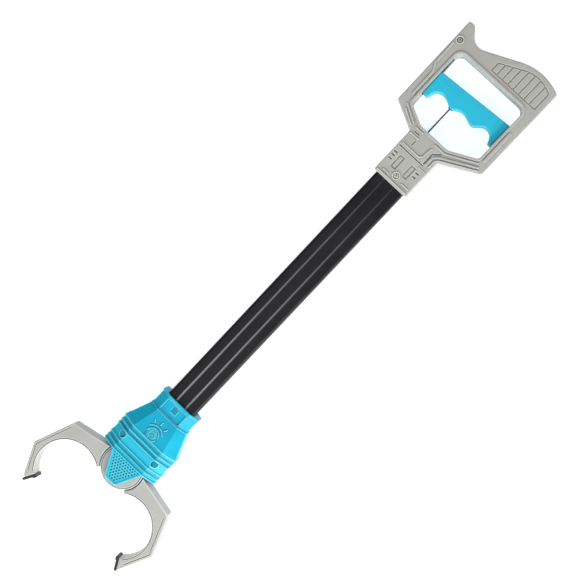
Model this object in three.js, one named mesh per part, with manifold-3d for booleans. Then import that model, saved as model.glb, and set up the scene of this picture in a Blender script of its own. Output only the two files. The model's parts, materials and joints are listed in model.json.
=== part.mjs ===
// Reacher grabber: a D-shaped handle with a sliding trigger, a long rectangular tube, and a head
// with two hooked jaws on one pivot. Pulling the trigger draws a steel rod, whose slider drives a
// pin along a spiral slot in the tail of each jaw, so both jaws close together.
//
// Millimetres. +X runs along the tube towards the jaws, +Y to the left, +Z up from the back faces
// to the front faces. The origin is at the middle of the underside of the whole tool.
import * as THREE from 'three';
import { mergeVertices } from 'three/addons/utils/BufferGeometryUtils.js';
import Module from 'manifold-3d';

const wasm = await Module();
wasm.setup();

// ------------------------------------------------------------------ fits and general sizes
const fit = 0.3;             // gap between pieces that sit against each other
const runningFit = 0.5;      // gap round a piece that slides
const wall = 2.4;            // shell wall
const arcSteps = 5;          // segments in a rounded corner
const edgeBevel = 1.2;       // eased outer edges of the handle shells
const overcut = 1;           // how far a cutting tool runs past the face it opens

// ------------------------------------------------------------------ tube
const tubeSeen = 279;        // length between handle and head
const tubeWidth = 32;
const tubeDepth = 20;
const tubeWall = 1.6;
const tubeCorner = 3;
const tubeInHandle = 31.5;   // length inside the neck
const tubeInHead = 12;       // length inside the collar
const tubeGrooveGap = 11.4;  // between the two grooves of a wide face
const tubeGrooveWidth = 1.6;
const tubeGrooveDepth = 0.7;

// ------------------------------------------------------------------ handle, from the neck's front face
const neckFloor = 3;         // neck face to the tube's broad face
const neckWall = 3;          // neck side to the tube's narrow face
const handleDepth = tubeDepth + 2 * neckFloor;
const neckWidth = tubeWidth + 2 * neckWall;
const neckLength = 46;
const openingFront = 55.7;   // neck face to the front of the finger opening
const openingLength = 71;
const openingRight = 34.3;   // tube line to the right rail
const openingLeft = 43;      // tube line to the left rail
const openingCorner = 7;
const rightRail = 12;        // rail depths
const leftRail = 11.5;
const gripWaist = 10;        // thickness behind the opening at the waist of the grip
const gripPalm = 37;         // the same at the palm swell, to the control corner
const hornReach = 24.6;      // the horn above the web of the hand
const lipWidth = 2.6;        // raised lip round the opening
const lipHeight = 0.8;
const neckPocketStart = 36;  // the neck is solid from its face to here, round the tube
const gripGrooves = 8;
const gripGroovePitch = 6.4;
const gripGrooveWidth = 1;
const gripGrooveDepth = 0.8;
const gripPanelDepth = 0.6;
const gripPanelInset = 7;    // from the opening to the ribbed panel
const gripPanelStart = -3;   // its first edge, across the tool
const gripPanelRim = 4.5;    // plain band round the panel
const gripPanelBack = 8.5;   // slope of the palm side, from the control corner
const markDepth = 0.8;       // lines and slots pressed in the broad faces
const markWidth = 1;
const recessDepth = 0.7;

// ------------------------------------------------------------------ trigger and pull rod
const triggerDepth = 18;     // its thickness through the handle
const triggerTravel = 15;
const palmGap = 8.8;         // behind the pulled trigger
const triggerBack = openingLength - triggerTravel - palmGap;
const triggerSkew = 0.07;    // lean of its back edge
const triggerLength = 24.5;  // front to back at the right end
const triggerTab = 4.5;      // how far each end runs inside its rail
const triggerBevel = 0.6;
const rodDiameter = 1.6;
const rodOffset = -6.8;      // where the rod leaves the trigger, across the tool
const rodBendStart = 40;     // the rod's bend to the middle, from the neck face
const rodBendLength = 50;
const rodInTrigger = 10;
const rodSteps = 34;
const ferruleDiameter = 4.4;
const ferruleLength = 7;
const ferruleProud = 1.2;

// ------------------------------------------------------------------ head, from its rear face
const collarLength = 16.5;
const collarSideWall = 5.5;  // over the tube's narrow face
const collarFaceWall = 3.6;  // over its broad face
const collarWidth = tubeWidth + 2 * collarSideWall;
const collarDepth = tubeDepth + 2 * collarFaceWall;
const flareEnd = 42.5;
const headLength = 73.3;
const headWidth = 63;
const headDepth = 34;
const headFlat = 37;         // width of the flat front face at the belts
const collarFlat = 25;
const headSide = 17;         // depth of the upright sides at the belts
const collarSide = 13;
const ridgeWidth = 1.8;
const ridgeHeight = 0.9;
const ridgePlaces = [collarLength, flareEnd, 47.8, 52.5, 62.4, 67.6, 71.4];
const lipLength = 2.4;       // rear lip of the collar
const collarPanelWidth = 25;
const collarPanelDepth = 0.8;
const mouthHeight = 19.6;    // opening between the two halves at the front
const nosePlate = 3.5;       // thickness of the plate over each pivot cap
const noseBase = 39;
const noseTip = 13;
const noseReach = 16.5;      // past the pivot

// ------------------------------------------------------------------ jaws, from the pivot
const pivotFromHead = 82.8;  // rear face of the head to the pivot
const pivotDiameter = 6;
const jawDepth = 16.4;
const jawBevel = 0.8;
const hubThickness = 4;
const capRadius = 21.3;
const capOverHub = 1.3;      // the cap's rim past the hub
const hubRadius = capRadius - capOverHub;
const capThickness = 2.5;
const capSkirt = 3.8;        // width of the cap's front skirt
const jawRootGap = 1;        // between a cap and the foot of a jaw
const jawAngle = 37.5 * Math.PI / 180;
const hookRadius = 30.5;
const hookWaist = 2.9;       // between the root arc and the hook, at their nearest
const hookBearing = 40.27 * Math.PI / 180;
const hookEnd = 42 * Math.PI / 180;
const rootStart = 106 * Math.PI / 180;
const rootEnd = 46 * Math.PI / 180;
const cuspAheadX = 2.51;     // the cusp, from the end of the root arc
const cuspAheadY = 1.56;
const shoulderX = -40;       // outer corners, from the hook's centre
const shoulderY = 26;
const apexX = 0;
const apexY = 41.5;
const tipX = 31.3;
const tipY = 27.5;
const tipAngle = 29 * Math.PI / 180;
const tipLength = 9.6;
const padThickness = 3;
const padLength = 16;
const padInset = 0.7;        // from the jaw's broad faces
const padDepth = jawDepth - 2 * padInset;
const padStart = -2.6;       // how far the pad starts inside the hook
const padKnob = 2.2;         // radius of the thick inner edge
const padTongue = 3.5;       // tongue in the jaw's slot
const padTongueWidth = 3;

// ------------------------------------------------------------------ cam
const camRest = 9.5;         // pivot to cam pin with the jaws open
const camPinDiameter = 3;
const camWall = 2.6;         // material beside the slot
const camSteps = 8;
const armThickness = 2.2;
const sliderWidth = 12;
const sliderLength = 11.5;
const nutThickness = 2.6;
const nutAcross = 6;
const rodTail = 0.8;         // rod past its nut
const tailReach = 10.5;      // room for the jaws' tails in front of the cam pin's rest
const rodEndGap = 0.8;       // rod's end to the hubs
const rodEnd = Math.max(hubRadius, camRest + tailReach) + rodEndGap;
const sliderFront = rodEnd + rodTail + nutThickness + fit;  // pivot to the slider's block
const guideRib = 2;

// ------------------------------------------------------------------ spring
const springRadius = 5;
const springWire = 1.2;
const springTurns = 7;
const springSteps = 10;      // to the turn
const seatThickness = 2;

// ------------------------------------------------------------------ screws
const screwShank = 1.3;      // radius
const screwHead = 2.7;
const screwHeadHeight = 1.8;
const screwSunk = 1.4;       // head below the face
const bossRadius = 3.2;
const screwSides = 12;
const handleScrewLength = 17;
const headScrewLength = 22;
const tubeScrewLength = 8;
const tubeScrewFloor = 0.6;  // shell left under the head of a tube screw
const screwRing = 1;         // raised ring round a screw
const ringHeight = 0.5;
const headScrewBack = 6.4;   // from the end of a cam slot, along the tool and across it
const headScrewOut = 5.6;
const neckScrewPlace = 8.7;  // from the neck's face
const headScrewPlace = 4;    // from the tube's front end

// ------------------------------------------------------------------ badge
const badgePlace = 38.2;      // from the head's rear face
const badgeRadius = 3.8;
const badgeSunk = 1.2;
const badgeProud = 0.4;

// Derived places
const neckFace = -tubeSeen / 2;
const headFace = tubeSeen / 2;
const pivotX = headFace + pivotFromHead;
const halfHandle = handleDepth / 2;
const openingRear = openingFront + openingLength;
const outerRight = openingRight + rightRail;
const outerLeft = openingLeft + leftRail;
const camPerTravel = jawAngle / triggerTravel;
const hubHigh = fit / 2 + hubThickness;
const armLow = hubHigh + fit;
const armHigh = armLow + armThickness;
const capLow = armHigh + fit;
const capHigh = capLow + capThickness;
const noseLow = capHigh + fit;

// ------------------------------------------------------------------ materials
const plastic = (color, roughness) => new THREE.MeshStandardMaterial({ color, roughness, metalness: 0 });
const greyPlastic = plastic(0xb4b5af, 0.5);
const cyanPlastic = plastic(0x12b4da, 0.35);
const triggerPlastic = plastic(0x2abee0, 0.45);
const blackPlastic = plastic(0x1c1c20, 0.4);
const blackRubber = plastic(0x28232f, 0.8);
const naturalPlastic = plastic(0xe4e2da, 0.5);
const steel = new THREE.MeshStandardMaterial({ color: 0xb9bdc1, roughness: 0.3, metalness: 1 });

// ------------------------------------------------------------------ solids
function toSolid(geometry) {
  geometry.deleteAttribute('normal');
  geometry.deleteAttribute('uv');
  const merged = mergeVertices(geometry, 1e-4);
  return new wasm.Manifold(new wasm.Mesh({
    numProp: 3,
    vertProperties: new Float32Array(merged.attributes.position.array),
    triVerts: new Uint32Array(merged.index.array),
  }));
}

function toMesh(name, solid, material) {
  const { vertProperties, triVerts } = solid.getMesh();
  const geometry = new THREE.BufferGeometry();
  geometry.setAttribute('position', new THREE.BufferAttribute(vertProperties, 3));
  geometry.setIndex(new THREE.BufferAttribute(triVerts, 1));
  geometry.computeVertexNormals();
  const mesh = new THREE.Mesh(geometry, material);
  mesh.name = name;
  return mesh;
}

function block(x0, x1, y0, y1, z0, z1) {
  const geometry = new THREE.BoxGeometry(x1 - x0, y1 - y0, z1 - z0);
  geometry.translate((x0 + x1) / 2, (y0 + y1) / 2, (z0 + z1) / 2);
  return toSolid(geometry);
}

// An outline raised from z0 to z1, with both rims eased where a bevel is given.
function prism(shape, z0, z1, bevel = 0) {
  const geometry = new THREE.ExtrudeGeometry(shape, {
    depth: z1 - z0 - 2 * bevel,
    bevelEnabled: bevel > 0,
    bevelThickness: bevel,
    bevelSize: bevel,
    bevelOffset: -bevel,
    bevelSegments: 1,
    curveSegments: arcSteps,
  });
  geometry.translate(0, 0, z0 + bevel);
  return toSolid(geometry);
}

function post(x, y, z0, z1, radius, sides = 16) {
  const geometry = new THREE.CylinderGeometry(radius, radius, z1 - z0, sides);
  geometry.rotateX(Math.PI / 2);
  geometry.translate(x, y, (z0 + z1) / 2);
  return toSolid(geometry);
}

function bar(x0, x1, y, radius, sides = 12) {
  const geometry = new THREE.CylinderGeometry(radius, radius, x1 - x0, sides);
  geometry.rotateZ(-Math.PI / 2);
  geometry.translate((x0 + x1) / 2, y, 0);
  return toSolid(geometry);
}

// ------------------------------------------------------------------ outlines
// A closed outline from corners [x, y, radius], each rounded between its two tangent points.
function outline(corners) {
  const shape = new THREE.Shape();
  corners.forEach(([x, y, radius = 0], i) => {
    const corner = new THREE.Vector2(x, y);
    const [beforeX, beforeY] = corners.at(i - 1);
    const [afterX, afterY] = corners[(i + 1) % corners.length];
    const toBefore = new THREE.Vector2(beforeX - x, beforeY - y).normalize();
    const toAfter = new THREE.Vector2(afterX - x, afterY - y).normalize();
    const run = radius / Math.tan(Math.acos(toBefore.dot(toAfter)) / 2);
    const start = corner.clone().addScaledVector(toBefore, run);
    const end = corner.clone().addScaledVector(toAfter, run);
    if (i === 0) shape.moveTo(start.x, start.y);
    else shape.lineTo(start.x, start.y);
    if (radius > 0) shape.quadraticCurveTo(x, y, end.x, end.y);
  });
  shape.closePath();
  return shape;
}

// The same corners with every edge moved inwards, or outwards where the distance is negative.
function inset(corners, distance) {
  const points = corners.map(([x, y]) => new THREE.Vector2(x, y));
  const turn = Math.sign(THREE.ShapeUtils.area(points));
  return corners.map(([x, y, radius = 0], i) => {
    const arrive = points[i].clone().sub(points.at(i - 1)).normalize();
    const leave = points[(i + 1) % points.length].clone().sub(points[i]).normalize();
    const normalA = new THREE.Vector2(-arrive.y, arrive.x).multiplyScalar(turn);
    const normalB = new THREE.Vector2(-leave.y, leave.x).multiplyScalar(turn);
    const reach = distance / (1 + normalA.dot(normalB));
    const convex = Math.sign(arrive.cross(leave)) === turn;
    const eased = radius === 0 ? 0 : Math.max(radius + (convex ? -distance : distance), 0.4);
    return [x + (normalA.x + normalB.x) * reach, y + (normalA.y + normalB.y) * reach, eased];
  });
}

const rectangle = (x0, x1, y0, y1, radius = 0) =>
  [[x0, y0, radius], [x1, y0, radius], [x1, y1, radius], [x0, y1, radius]];

const circle = (x, y, radius) => new THREE.Shape().absarc(x, y, radius, 0, 2 * Math.PI);

// ------------------------------------------------------------------ tube section along X
// The section is drawn as [across, up] and raised along X.
function alongX(corners, x0, x1) {
  const shape = outline(corners);
  const geometry = new THREE.ExtrudeGeometry(shape, {
    depth: x1 - x0, bevelEnabled: false, curveSegments: 3,
  });
  geometry.rotateY(Math.PI / 2);
  geometry.rotateX(Math.PI / 2);
  geometry.translate(x0, 0, 0);
  return toSolid(geometry);
}

function tubeSection(grow) {
  const halfWidth = tubeWidth / 2 + grow;
  const halfDepth = tubeDepth / 2 + grow;
  return rectangle(-halfWidth, halfWidth, -halfDepth, halfDepth, Math.max(tubeCorner + grow, 0.6));
}

const tubeRear = neckFace - tubeInHandle;
const tubeFront = headFace + tubeInHead;

function buildTube() {
  let tube = alongX(tubeSection(0), tubeRear, tubeFront);
  tube = tube.subtract(alongX(tubeSection(-tubeWall), tubeRear - overcut, tubeFront + overcut));
  for (const y of [-tubeGrooveGap / 2, tubeGrooveGap / 2]) {
    for (const side of [-1, 1]) {
      const face = side * tubeDepth / 2;
      const z = [face - tubeGrooveDepth * side, face + overcut * side].sort((a, b) => a - b);
      const half = tubeGrooveWidth / 2;
      tube = tube.subtract(block(tubeRear - overcut, tubeFront + overcut, y - half, y + half, ...z));
    }
  }
  for (const screw of tubeScrews) tube = tube.subtract(screwCut(screw));
  return tube;
}

// ------------------------------------------------------------------ handle
const handleCorners = [
  [0, -neckWidth / 2, 2],
  [-neckLength, -neckWidth / 2, 2],
  [-openingFront - 3.3, -outerRight, 3],
  [-openingRear - hornReach, -outerRight, 2],
  [-openingRear - hornReach, -outerRight + 6.3, 2.5],
  [-openingRear - gripWaist, -openingRight + 6.8, 12],
  [-openingRear - gripPalm, openingLeft - 12, 52],
  [-openingRear - gripPalm + gripPanelBack, outerLeft, 3],
  [-openingFront - 4.5, outerLeft, 3],
  [-neckLength + 5, neckWidth / 2, 2],
  [0, neckWidth / 2, 2],
];

const openingCorners = [
  [-openingFront, -14.5, 5],
  [-openingFront - 9.5, -openingRight, 3],
  [-openingRear, -openingRight, openingCorner],
  [-openingRear - 0.5, openingLeft, openingCorner],
  [-openingFront - 13, openingLeft, 4],
  [-openingFront, 17.5, 6],
];

// Screws that hold the handle halves: the first from the front, the others from the back.
const handleScrews = [
  { x: -openingRear - 6.5, y: -outerRight + 5.3, front: true },
  { x: -openingRear - 20, y: outerLeft - 11, front: false },
  { x: -openingFront - 6.5, y: -outerRight + 5.2, front: false },
  { x: -openingFront - 8.5, y: outerLeft - 5.2, front: false },
  { x: -neckPocketStart - 5.5, y: neckWidth / 2 - 6.5, front: false },
].map((screw) => ({
  ...screw,
  x: screw.x + neckFace,
  seat: halfHandle - screwSunk - screwHeadHeight,
  length: handleScrewLength,
}));

// Screws that hold the tube, at its two ends.
const tubeScrews = [
  { name: 'neck_tube_screw', x: neckFace - neckScrewPlace, y: 0 },
  { name: 'head_tube_screw', x: headFace + tubeInHead - headScrewPlace, y: 0 },
].map((screw) => ({
  ...screw,
  seat: tubeDepth / 2 + fit + tubeScrewFloor + fit,
  length: tubeScrewLength,
  front: true,
}));

// A hole for the shank with a counterbore for the head, which sits at the seat, cut from one side.
function screwCut({ x, y, seat, length, front }) {
  let cut = post(x, y, seat - fit, headDepth, screwHead + fit, screwSides);
  cut = cut.add(post(x, y, seat - length - fit, seat, screwShank + fit, screwSides));
  return front ? cut : cut.mirror([0, 0, 1]);
}

function buildScrew({ x, y, seat, length, front }) {
  const profile = [
    [0, seat - length],
    [screwShank * 0.5, seat - length],
    [screwShank, seat - length + 2],
    [screwShank, seat],
    [screwHead, seat],
    [screwHead, seat + screwHeadHeight * 0.55],
    [screwHead * 0.75, seat + screwHeadHeight],
    [0, seat + screwHeadHeight],
  ].map(([r, z]) => new THREE.Vector2(r, z));
  const geometry = new THREE.LatheGeometry(profile, screwSides);
  geometry.rotateX(Math.PI / 2);
  const screw = toSolid(geometry).translate([x, y, 0]);
  return front ? screw : screw.mirror([0, 0, 1]);
}

function gripPanel() {
  const inner = -openingRear - gripPanelInset;
  const palm = -openingRear - gripPalm + gripPanelRim;
  const top = outerLeft - gripPanelRim - 1;
  return outline([
    [inner, gripPanelStart, 1],
    [inner, top, 1],
    [palm + gripPanelBack, top, 3],
    [palm + 1.2, openingLeft - 12, 30],
    [inner - 9, gripPanelStart, 2],
  ]);
}

// Shallow features on both broad faces of the handle.
function handleRelief() {
  const sunk = (corners, depth) => prism(outline(corners), halfHandle - depth, halfHandle + overcut);
  const mark = (x0, x1, y0, y1) => sunk(rectangle(x0, x1, y0, y1), markDepth);

  const floor = halfHandle - gripPanelDepth;
  const relief = [prism(gripPanel(), floor, halfHandle + overcut)];
  const within = prism(gripPanel(), floor - gripGrooveDepth, halfHandle);
  for (let i = 1; i <= gripGrooves; i += 1) {
    const y = gripPanelStart + gripGroovePitch * i;
    const groove = block(-openingRear - gripPalm, -openingRear, y, y + gripGrooveWidth, 0, halfHandle);
    relief.push(groove.intersect(within));
  }

  // Short slots and two recesses on the neck, and the lines where it meets the arms.
  for (const x of [-24.7, -21.2, -17.2]) {
    relief.push(mark(x, x + markWidth, -17, -13));
    relief.push(mark(x, x + markWidth, 10, 14));
  }
  relief.push(sunk(rectangle(-25.5, -11.5, -12.5, -4.5, 1.5), recessDepth));
  relief.push(sunk(rectangle(-25.5, -11.5, 2.5, 8, 1.5), recessDepth));
  const half = neckWidth / 2 + overcut;
  relief.push(mark(-tubeInHandle - markWidth / 2, -tubeInHandle + markWidth / 2, -half, half));
  relief.push(mark(-neckLength + 2.5, -tubeInHandle, 10, 10 + markWidth));

  // A stepped line along the right rail and a sunk panel along the left one.
  const rightY = -openingRight - rightRail / 2;
  const step = -openingFront - 45;
  relief.push(mark(-openingRear + 2, step - 3, rightY - 3.8, rightY - 3.8 + markWidth));
  relief.push(mark(step + 3, -openingFront - 13, rightY, rightY + markWidth));
  const leftY = openingLeft + leftRail / 2;
  relief.push(sunk(rectangle(step - 2, -openingFront - 12, leftY - 2.5, leftY + 1.5), recessDepth));
  return relief;
}

// The slot in one rail that a trigger end slides in.
function triggerSlot(side) {
  const inner = side < 0 ? openingRight : openingLeft;
  const deep = inner + triggerTab + runningFit;
  const lean = side < 0 ? 0 : triggerSkew * (openingRight + openingLeft);
  const back = -openingFront - triggerBack - lean - triggerTravel - runningFit - triggerSkew * triggerTab;
  const front = -openingFront - triggerBack + triggerLength - lean + runningFit;
  const y = [side * (inner - openingCorner), side * deep].sort((a, b) => a - b);
  const half = triggerDepth / 2 + fit;
  return block(back, front, ...y, -half, half);
}

function buildHandleHalves() {
  let body = prism(outline(handleCorners), -halfHandle, halfHandle, edgeBevel);
  const lipFace = halfHandle + lipHeight;
  body = body.add(prism(outline(inset(openingCorners, -lipWidth)), -lipFace, lipFace, lipHeight * 0.75));
  const opening = prism(outline(openingCorners), -handleDepth, handleDepth);
  body = body.subtract(opening);

  const roof = halfHandle - wall;
  let pocket = prism(outline(inset(handleCorners, wall)), -roof, roof);
  pocket = pocket.subtract(prism(outline(inset(openingCorners, -wall)), -handleDepth, handleDepth));
  const neck = block(-neckPocketStart, overcut, -neckWidth, neckWidth, -handleDepth, handleDepth);
  pocket = pocket.subtract(neck);
  for (const { x, y } of handleScrews) {
    pocket = pocket.subtract(post(x - neckFace, y, -roof, roof, bossRadius));
  }
  body = body.subtract(pocket);

  for (const side of [-1, 1]) body = body.subtract(triggerSlot(side));
  const rodHole = rodDiameter / 2 + runningFit;
  body = body.subtract(bar(-openingFront - overcut, -tubeInHandle, rodOffset, rodHole));
  body = body.subtract(alongX(tubeSection(fit), -tubeInHandle - fit, overcut));
  for (const cut of handleRelief()) {
    body = body.subtract(cut);
    body = body.subtract(cut.mirror([0, 0, 1]));
  }
  for (const { x, y } of [tubeScrews[0], handleScrews[0]]) {
    const radius = screwHead + fit + screwRing;
    const ring = post(x - neckFace, y, halfHandle - wall, halfHandle + ringHeight, radius);
    body = body.add(ring);
  }
  body = body.translate([neckFace, 0, 0]);
  for (const screw of [...handleScrews, tubeScrews[0]]) body = body.subtract(screwCut(screw));
  return splitHalves(body, handleDepth);
}

// The parts of a body above and below its parting plane, with a fine gap between them.
function splitHalves(body, reach) {
  const size = 400;
  const above = block(-size, size, -size, size, fit / 2, reach);
  const below = block(-size, size, -size, size, -reach, -fit / 2);
  return [body.intersect(above), body.intersect(below)];
}

// ------------------------------------------------------------------ trigger
function buildTrigger() {
  const back = (y) => -openingFront - triggerBack - triggerSkew * (y + openingRight);
  const front = (y, depth) => back(y) + depth;
  const right = -openingRight - triggerTab;
  const left = openingLeft + triggerTab;
  const shape = new THREE.Shape();
  shape.moveTo(back(right), right);
  shape.lineTo(back(left), left);
  shape.lineTo(front(left, triggerLength), left);
  shape.lineTo(front(openingLeft - 4, triggerLength), openingLeft - 4.5);
  shape.splineThru([
    [38, 20.5], [34, 15], [29, 13.6], [24, 15], [19.5, 19.7], [17, 20.6], [13, 19.4], [5, 15.7],
    [-2, 17.6], [-6.8, 19.6], [-12, 17.2], [-18.5, 14], [-24, 15.7], [-27.5, 20.5],
  ].map(([y, depth]) => new THREE.Vector2(front(y, depth), y)));
  shape.lineTo(front(-30.5, triggerLength), -29.5);
  shape.lineTo(front(right, triggerLength), right);
  shape.closePath();
  const half = triggerDepth / 2;
  const geometry = new THREE.ExtrudeGeometry(shape, {
    depth: triggerDepth - 2 * triggerBevel,
    bevelThickness: triggerBevel,
    bevelSize: triggerBevel,
    bevelOffset: -triggerBevel,
    bevelSegments: 1,
    curveSegments: 3,
  });
  geometry.translate(0, 0, triggerBevel - half);
  let trigger = toSolid(geometry);
  const crest = front(rodOffset, 19.6);
  trigger = trigger.subtract(bar(crest - rodInTrigger, crest + overcut, rodOffset, rodDiameter / 2 + fit));
  const sleeve = ferruleLength - ferruleProud + fit;
  trigger = trigger.subtract(bar(crest - sleeve, crest + overcut, rodOffset, ferruleDiameter / 2 + fit));
  return { trigger: trigger.translate([neckFace, 0, 0]), crest: crest + neckFace };
}

// ------------------------------------------------------------------ head
const collar = { top: collarFlat / 2, side: collarWidth / 2, high: collarDepth / 2, low: collarSide / 2 };
const belt = { top: headFlat / 2, side: headWidth / 2, high: headDepth / 2, low: headSide / 2 };
const chamferShare = 0.42;   // how far a chamfer's ends move when every face moves by one

const grown = (section, by) => ({
  top: section.top + by * chamferShare,
  side: section.side + by,
  high: section.high + by,
  low: section.low + by * chamferShare,
});

function sectionAt(x) {
  const share = Math.min(Math.max((x - collarLength) / (flareEnd - collarLength), 0), 1);
  const mix = (key) => collar[key] + (belt[key] - collar[key]) * share;
  return { top: mix('top'), side: mix('side'), high: mix('high'), low: mix('low') };
}

// A closed body through eight-sided stations along X.
function loft(stations) {
  const positions = [];
  for (const { x, top, side, high, low } of stations) {
    const ring = [
      [top, high], [side, low], [side, -low], [top, -high],
      [-top, -high], [-side, -low], [-side, low], [-top, high],
    ];
    for (const [y, z] of ring) positions.push(x, y, z);
  }
  const sides = 8;
  const index = [];
  for (let s = 0; s + 1 < stations.length; s += 1) {
    for (let j = 0; j < sides; j += 1) {
      const a = s * sides + j;
      const b = s * sides + (j + 1) % sides;
      index.push(a, a + sides, b + sides, a, b + sides, b);
    }
  }
  const last = (stations.length - 1) * sides;
  for (let j = 1; j + 1 < sides; j += 1) {
    index.push(0, j, j + 1, last, last + j + 1, last + j);
  }
  const geometry = new THREE.BufferGeometry();
  geometry.setAttribute('position', new THREE.Float32BufferAttribute(positions, 3));
  geometry.setIndex(index);
  return toSolid(geometry);
}

const camReach = camRest + triggerTravel;
const headScrews = [-1, 1].map((side) => ({
  x: pivotX - camReach * Math.cos(jawAngle) - headScrewBack,
  y: side * (camReach * Math.sin(jawAngle) + headScrewOut),
  seat: headDepth / 2 - 1 - screwSunk - screwHeadHeight,
  length: headScrewLength,
  front: true,
}));

function buildHeadHalves() {
  const stations = [0, collarLength, flareEnd, headLength].map((x) => ({ x, ...sectionAt(x) }));
  let body = loft(stations);
  const ringAt = (x, width, by) =>
    loft([x, x + width].map((place) => ({ x: place, ...grown(sectionAt(x + width / 2), by) })));
  body = body.add(ringAt(0, lipLength, ridgeHeight));
  for (const x of ridgePlaces) body = body.add(ringAt(x, ridgeWidth, ridgeHeight));

  const pivot = pivotFromHead;
  const nose = outline([
    [headLength - wall, -noseBase / 2 - 1, 0],
    [pivot + noseReach, -noseTip / 2, 3],
    [pivot + noseReach, noseTip / 2, 3],
    [headLength - wall, noseBase / 2 + 1, 0],
  ]);
  const plate = prism(nose, noseLow, noseLow + nosePlate, 0.5);
  body = body.add(plate);
  body = body.add(plate.mirror([0, 0, 1]));

  const hollowStart = tubeInHead + fit;
  const hollow = [hollowStart, collarLength, flareEnd, headLength - wall]
    .map((x) => ({ x, ...grown(sectionAt(x), -wall) }));
  let pocket = loft(hollow);
  const ribEnd = pivot - capRadius - 1;
  for (const side of [-1, 1]) {
    for (const face of [-1, 1]) {
      const near = sliderWidth / 2 + runningFit;
      const y = [side * near, side * (near + guideRib)].sort((a, b) => a - b);
      const z = [face * armLow, face * headDepth].sort((a, b) => a - b);
      pocket = pocket.subtract(block(collarLength + 6, ribEnd, ...y, ...z));
    }
  }
  for (const { x, y } of headScrews) {
    pocket = pocket.subtract(post(x - headFace, y, -headDepth, headDepth, bossRadius));
  }
  body = body.subtract(pocket);
  const mouthSide = headWidth / 2 - wall;
  const mouthHalf = Math.max(mouthHeight / 2, noseLow);
  const mouthRear = headLength - wall - overcut;
  const mouthFront = headLength + overcut;
  body = body.subtract(block(mouthRear, mouthFront, -mouthSide, mouthSide, -mouthHalf, mouthHalf));
  body = body.subtract(alongX(tubeSection(fit), -overcut, hollowStart + overcut));

  const panelHalf = collarPanelWidth / 2;
  const panel = outline(rectangle(lipLength + 0.8, collarLength - 0.6, -panelHalf, panelHalf, 0.8));
  const panelCut = prism(panel, collarDepth / 2 - collarPanelDepth, collarDepth / 2 + overcut);
  body = body.subtract(panelCut);
  body = body.subtract(panelCut.mirror([0, 0, 1]));
  body = body.subtract(post(badgePlace, 0, badgeFace - badgeSunk, headDepth, badgeRadius + fit, 24));
  body = body.translate([headFace, 0, 0]);
  for (const screw of [...headScrews, tubeScrews[1]]) body = body.subtract(screwCut(screw));
  return splitHalves(body, headDepth);
}

// The flare's front face where a plain round badge is set in it.
const badgeFace = sectionAt(badgePlace).high;

// ------------------------------------------------------------------ jaws
const rootRadius = capRadius + jawRootGap;
const hookX = (rootRadius + hookWaist + hookRadius) * Math.cos(hookBearing);
const hookY = (rootRadius + hookWaist + hookRadius) * Math.sin(hookBearing);
const tipInnerX = hookX + hookRadius * Math.cos(hookEnd);
const tipInnerY = hookY + hookRadius * Math.sin(hookEnd);

function jawOutline() {
  const shape = new THREE.Shape();
  const cuspX = rootRadius * Math.cos(rootEnd) + cuspAheadX;
  const cuspY = rootRadius * Math.sin(rootEnd) + cuspAheadY;
  const cuspAngle = Math.atan2(cuspY - hookY, cuspX - hookX);
  shape.moveTo(rootRadius * Math.cos(rootStart), rootRadius * Math.sin(rootStart));
  shape.absarc(0, 0, rootRadius, rootStart, rootEnd, true);
  shape.absarc(hookX, hookY, hookRadius, cuspAngle, hookEnd, true);
  shape.lineTo(tipInnerX + tipLength * Math.cos(tipAngle), tipInnerY + tipLength * Math.sin(tipAngle));
  for (const [x, y] of [[tipX, tipY], [apexX, apexY], [shoulderX, shoulderY]]) {
    shape.lineTo(hookX + x, hookY + y);
  }
  shape.closePath();
  return shape;
}

// Where the cam pin lies in the left jaw's own frame after the slider has moved back by travel.
function camPoint(travel) {
  const angle = Math.PI + camPerTravel * travel;
  const reach = camRest + travel;
  return new THREE.Vector2(reach * Math.cos(angle), reach * Math.sin(angle));
}

// A band of constant width along the cam path, with round ends.
function camBand(half, from, to) {
  const path = Array.from({ length: camSteps + 1 }, (_, i) => camPoint(from + (to - from) * i / camSteps));
  const sideOf = (i, sign) => {
    const ahead = path[Math.min(i + 1, camSteps)].clone().sub(path[Math.max(i - 1, 0)]).normalize();
    return path[i].clone().add(new THREE.Vector2(-ahead.y, ahead.x).multiplyScalar(sign * half));
  };
  const right = path.map((_, i) => sideOf(i, -1));
  const left = path.map((_, i) => sideOf(i, 1)).reverse();
  return new THREE.Shape([...right, ...left]);
}

function camSolid(half, z0, z1) {
  let solid = prism(camBand(half, 0, triggerTravel), z0, z1);
  for (const travel of [0, triggerTravel]) {
    const { x, y } = camPoint(travel);
    solid = solid.add(post(x, y, z0, z1, half, 20));
  }
  return solid;
}

// The pad's tongue, or the slot for it, across the middle of the tip's end face.
function padTongueBlock(grow, foot) {
  const middle = tipLength / 2;
  const half = padTongueWidth / 2 + grow;
  const deep = padDepth / 2 - 3 + grow;
  return block(middle - half, middle + half, foot, padTongue + grow, -deep, deep);
}

// The rubber pad lies along the tip's end face; its tongue plugs into a slot there.
function buildPad() {
  const knobEnd = padStart + padKnob * 2;
  const strip = outline([
    [padStart, -fit, 0.8],
    [padStart, -fit - padThickness - 0.6, 1],
    [knobEnd, -fit - padThickness - 0.6, 1],
    [knobEnd + 1.5, -padThickness, 1],
    [padStart + padLength, -padThickness, 1],
    [padStart + padLength, -fit, 0.6],
  ]);
  const pad = prism(strip, -padDepth / 2, padDepth / 2);
  return placeOnTip(pad.add(padTongueBlock(0, -fit - 0.5)));
}

function placeOnTip(solid) {
  return solid.rotate([0, 0, tipAngle * 180 / Math.PI]).translate([tipInnerX, tipInnerY, 0]);
}

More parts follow.
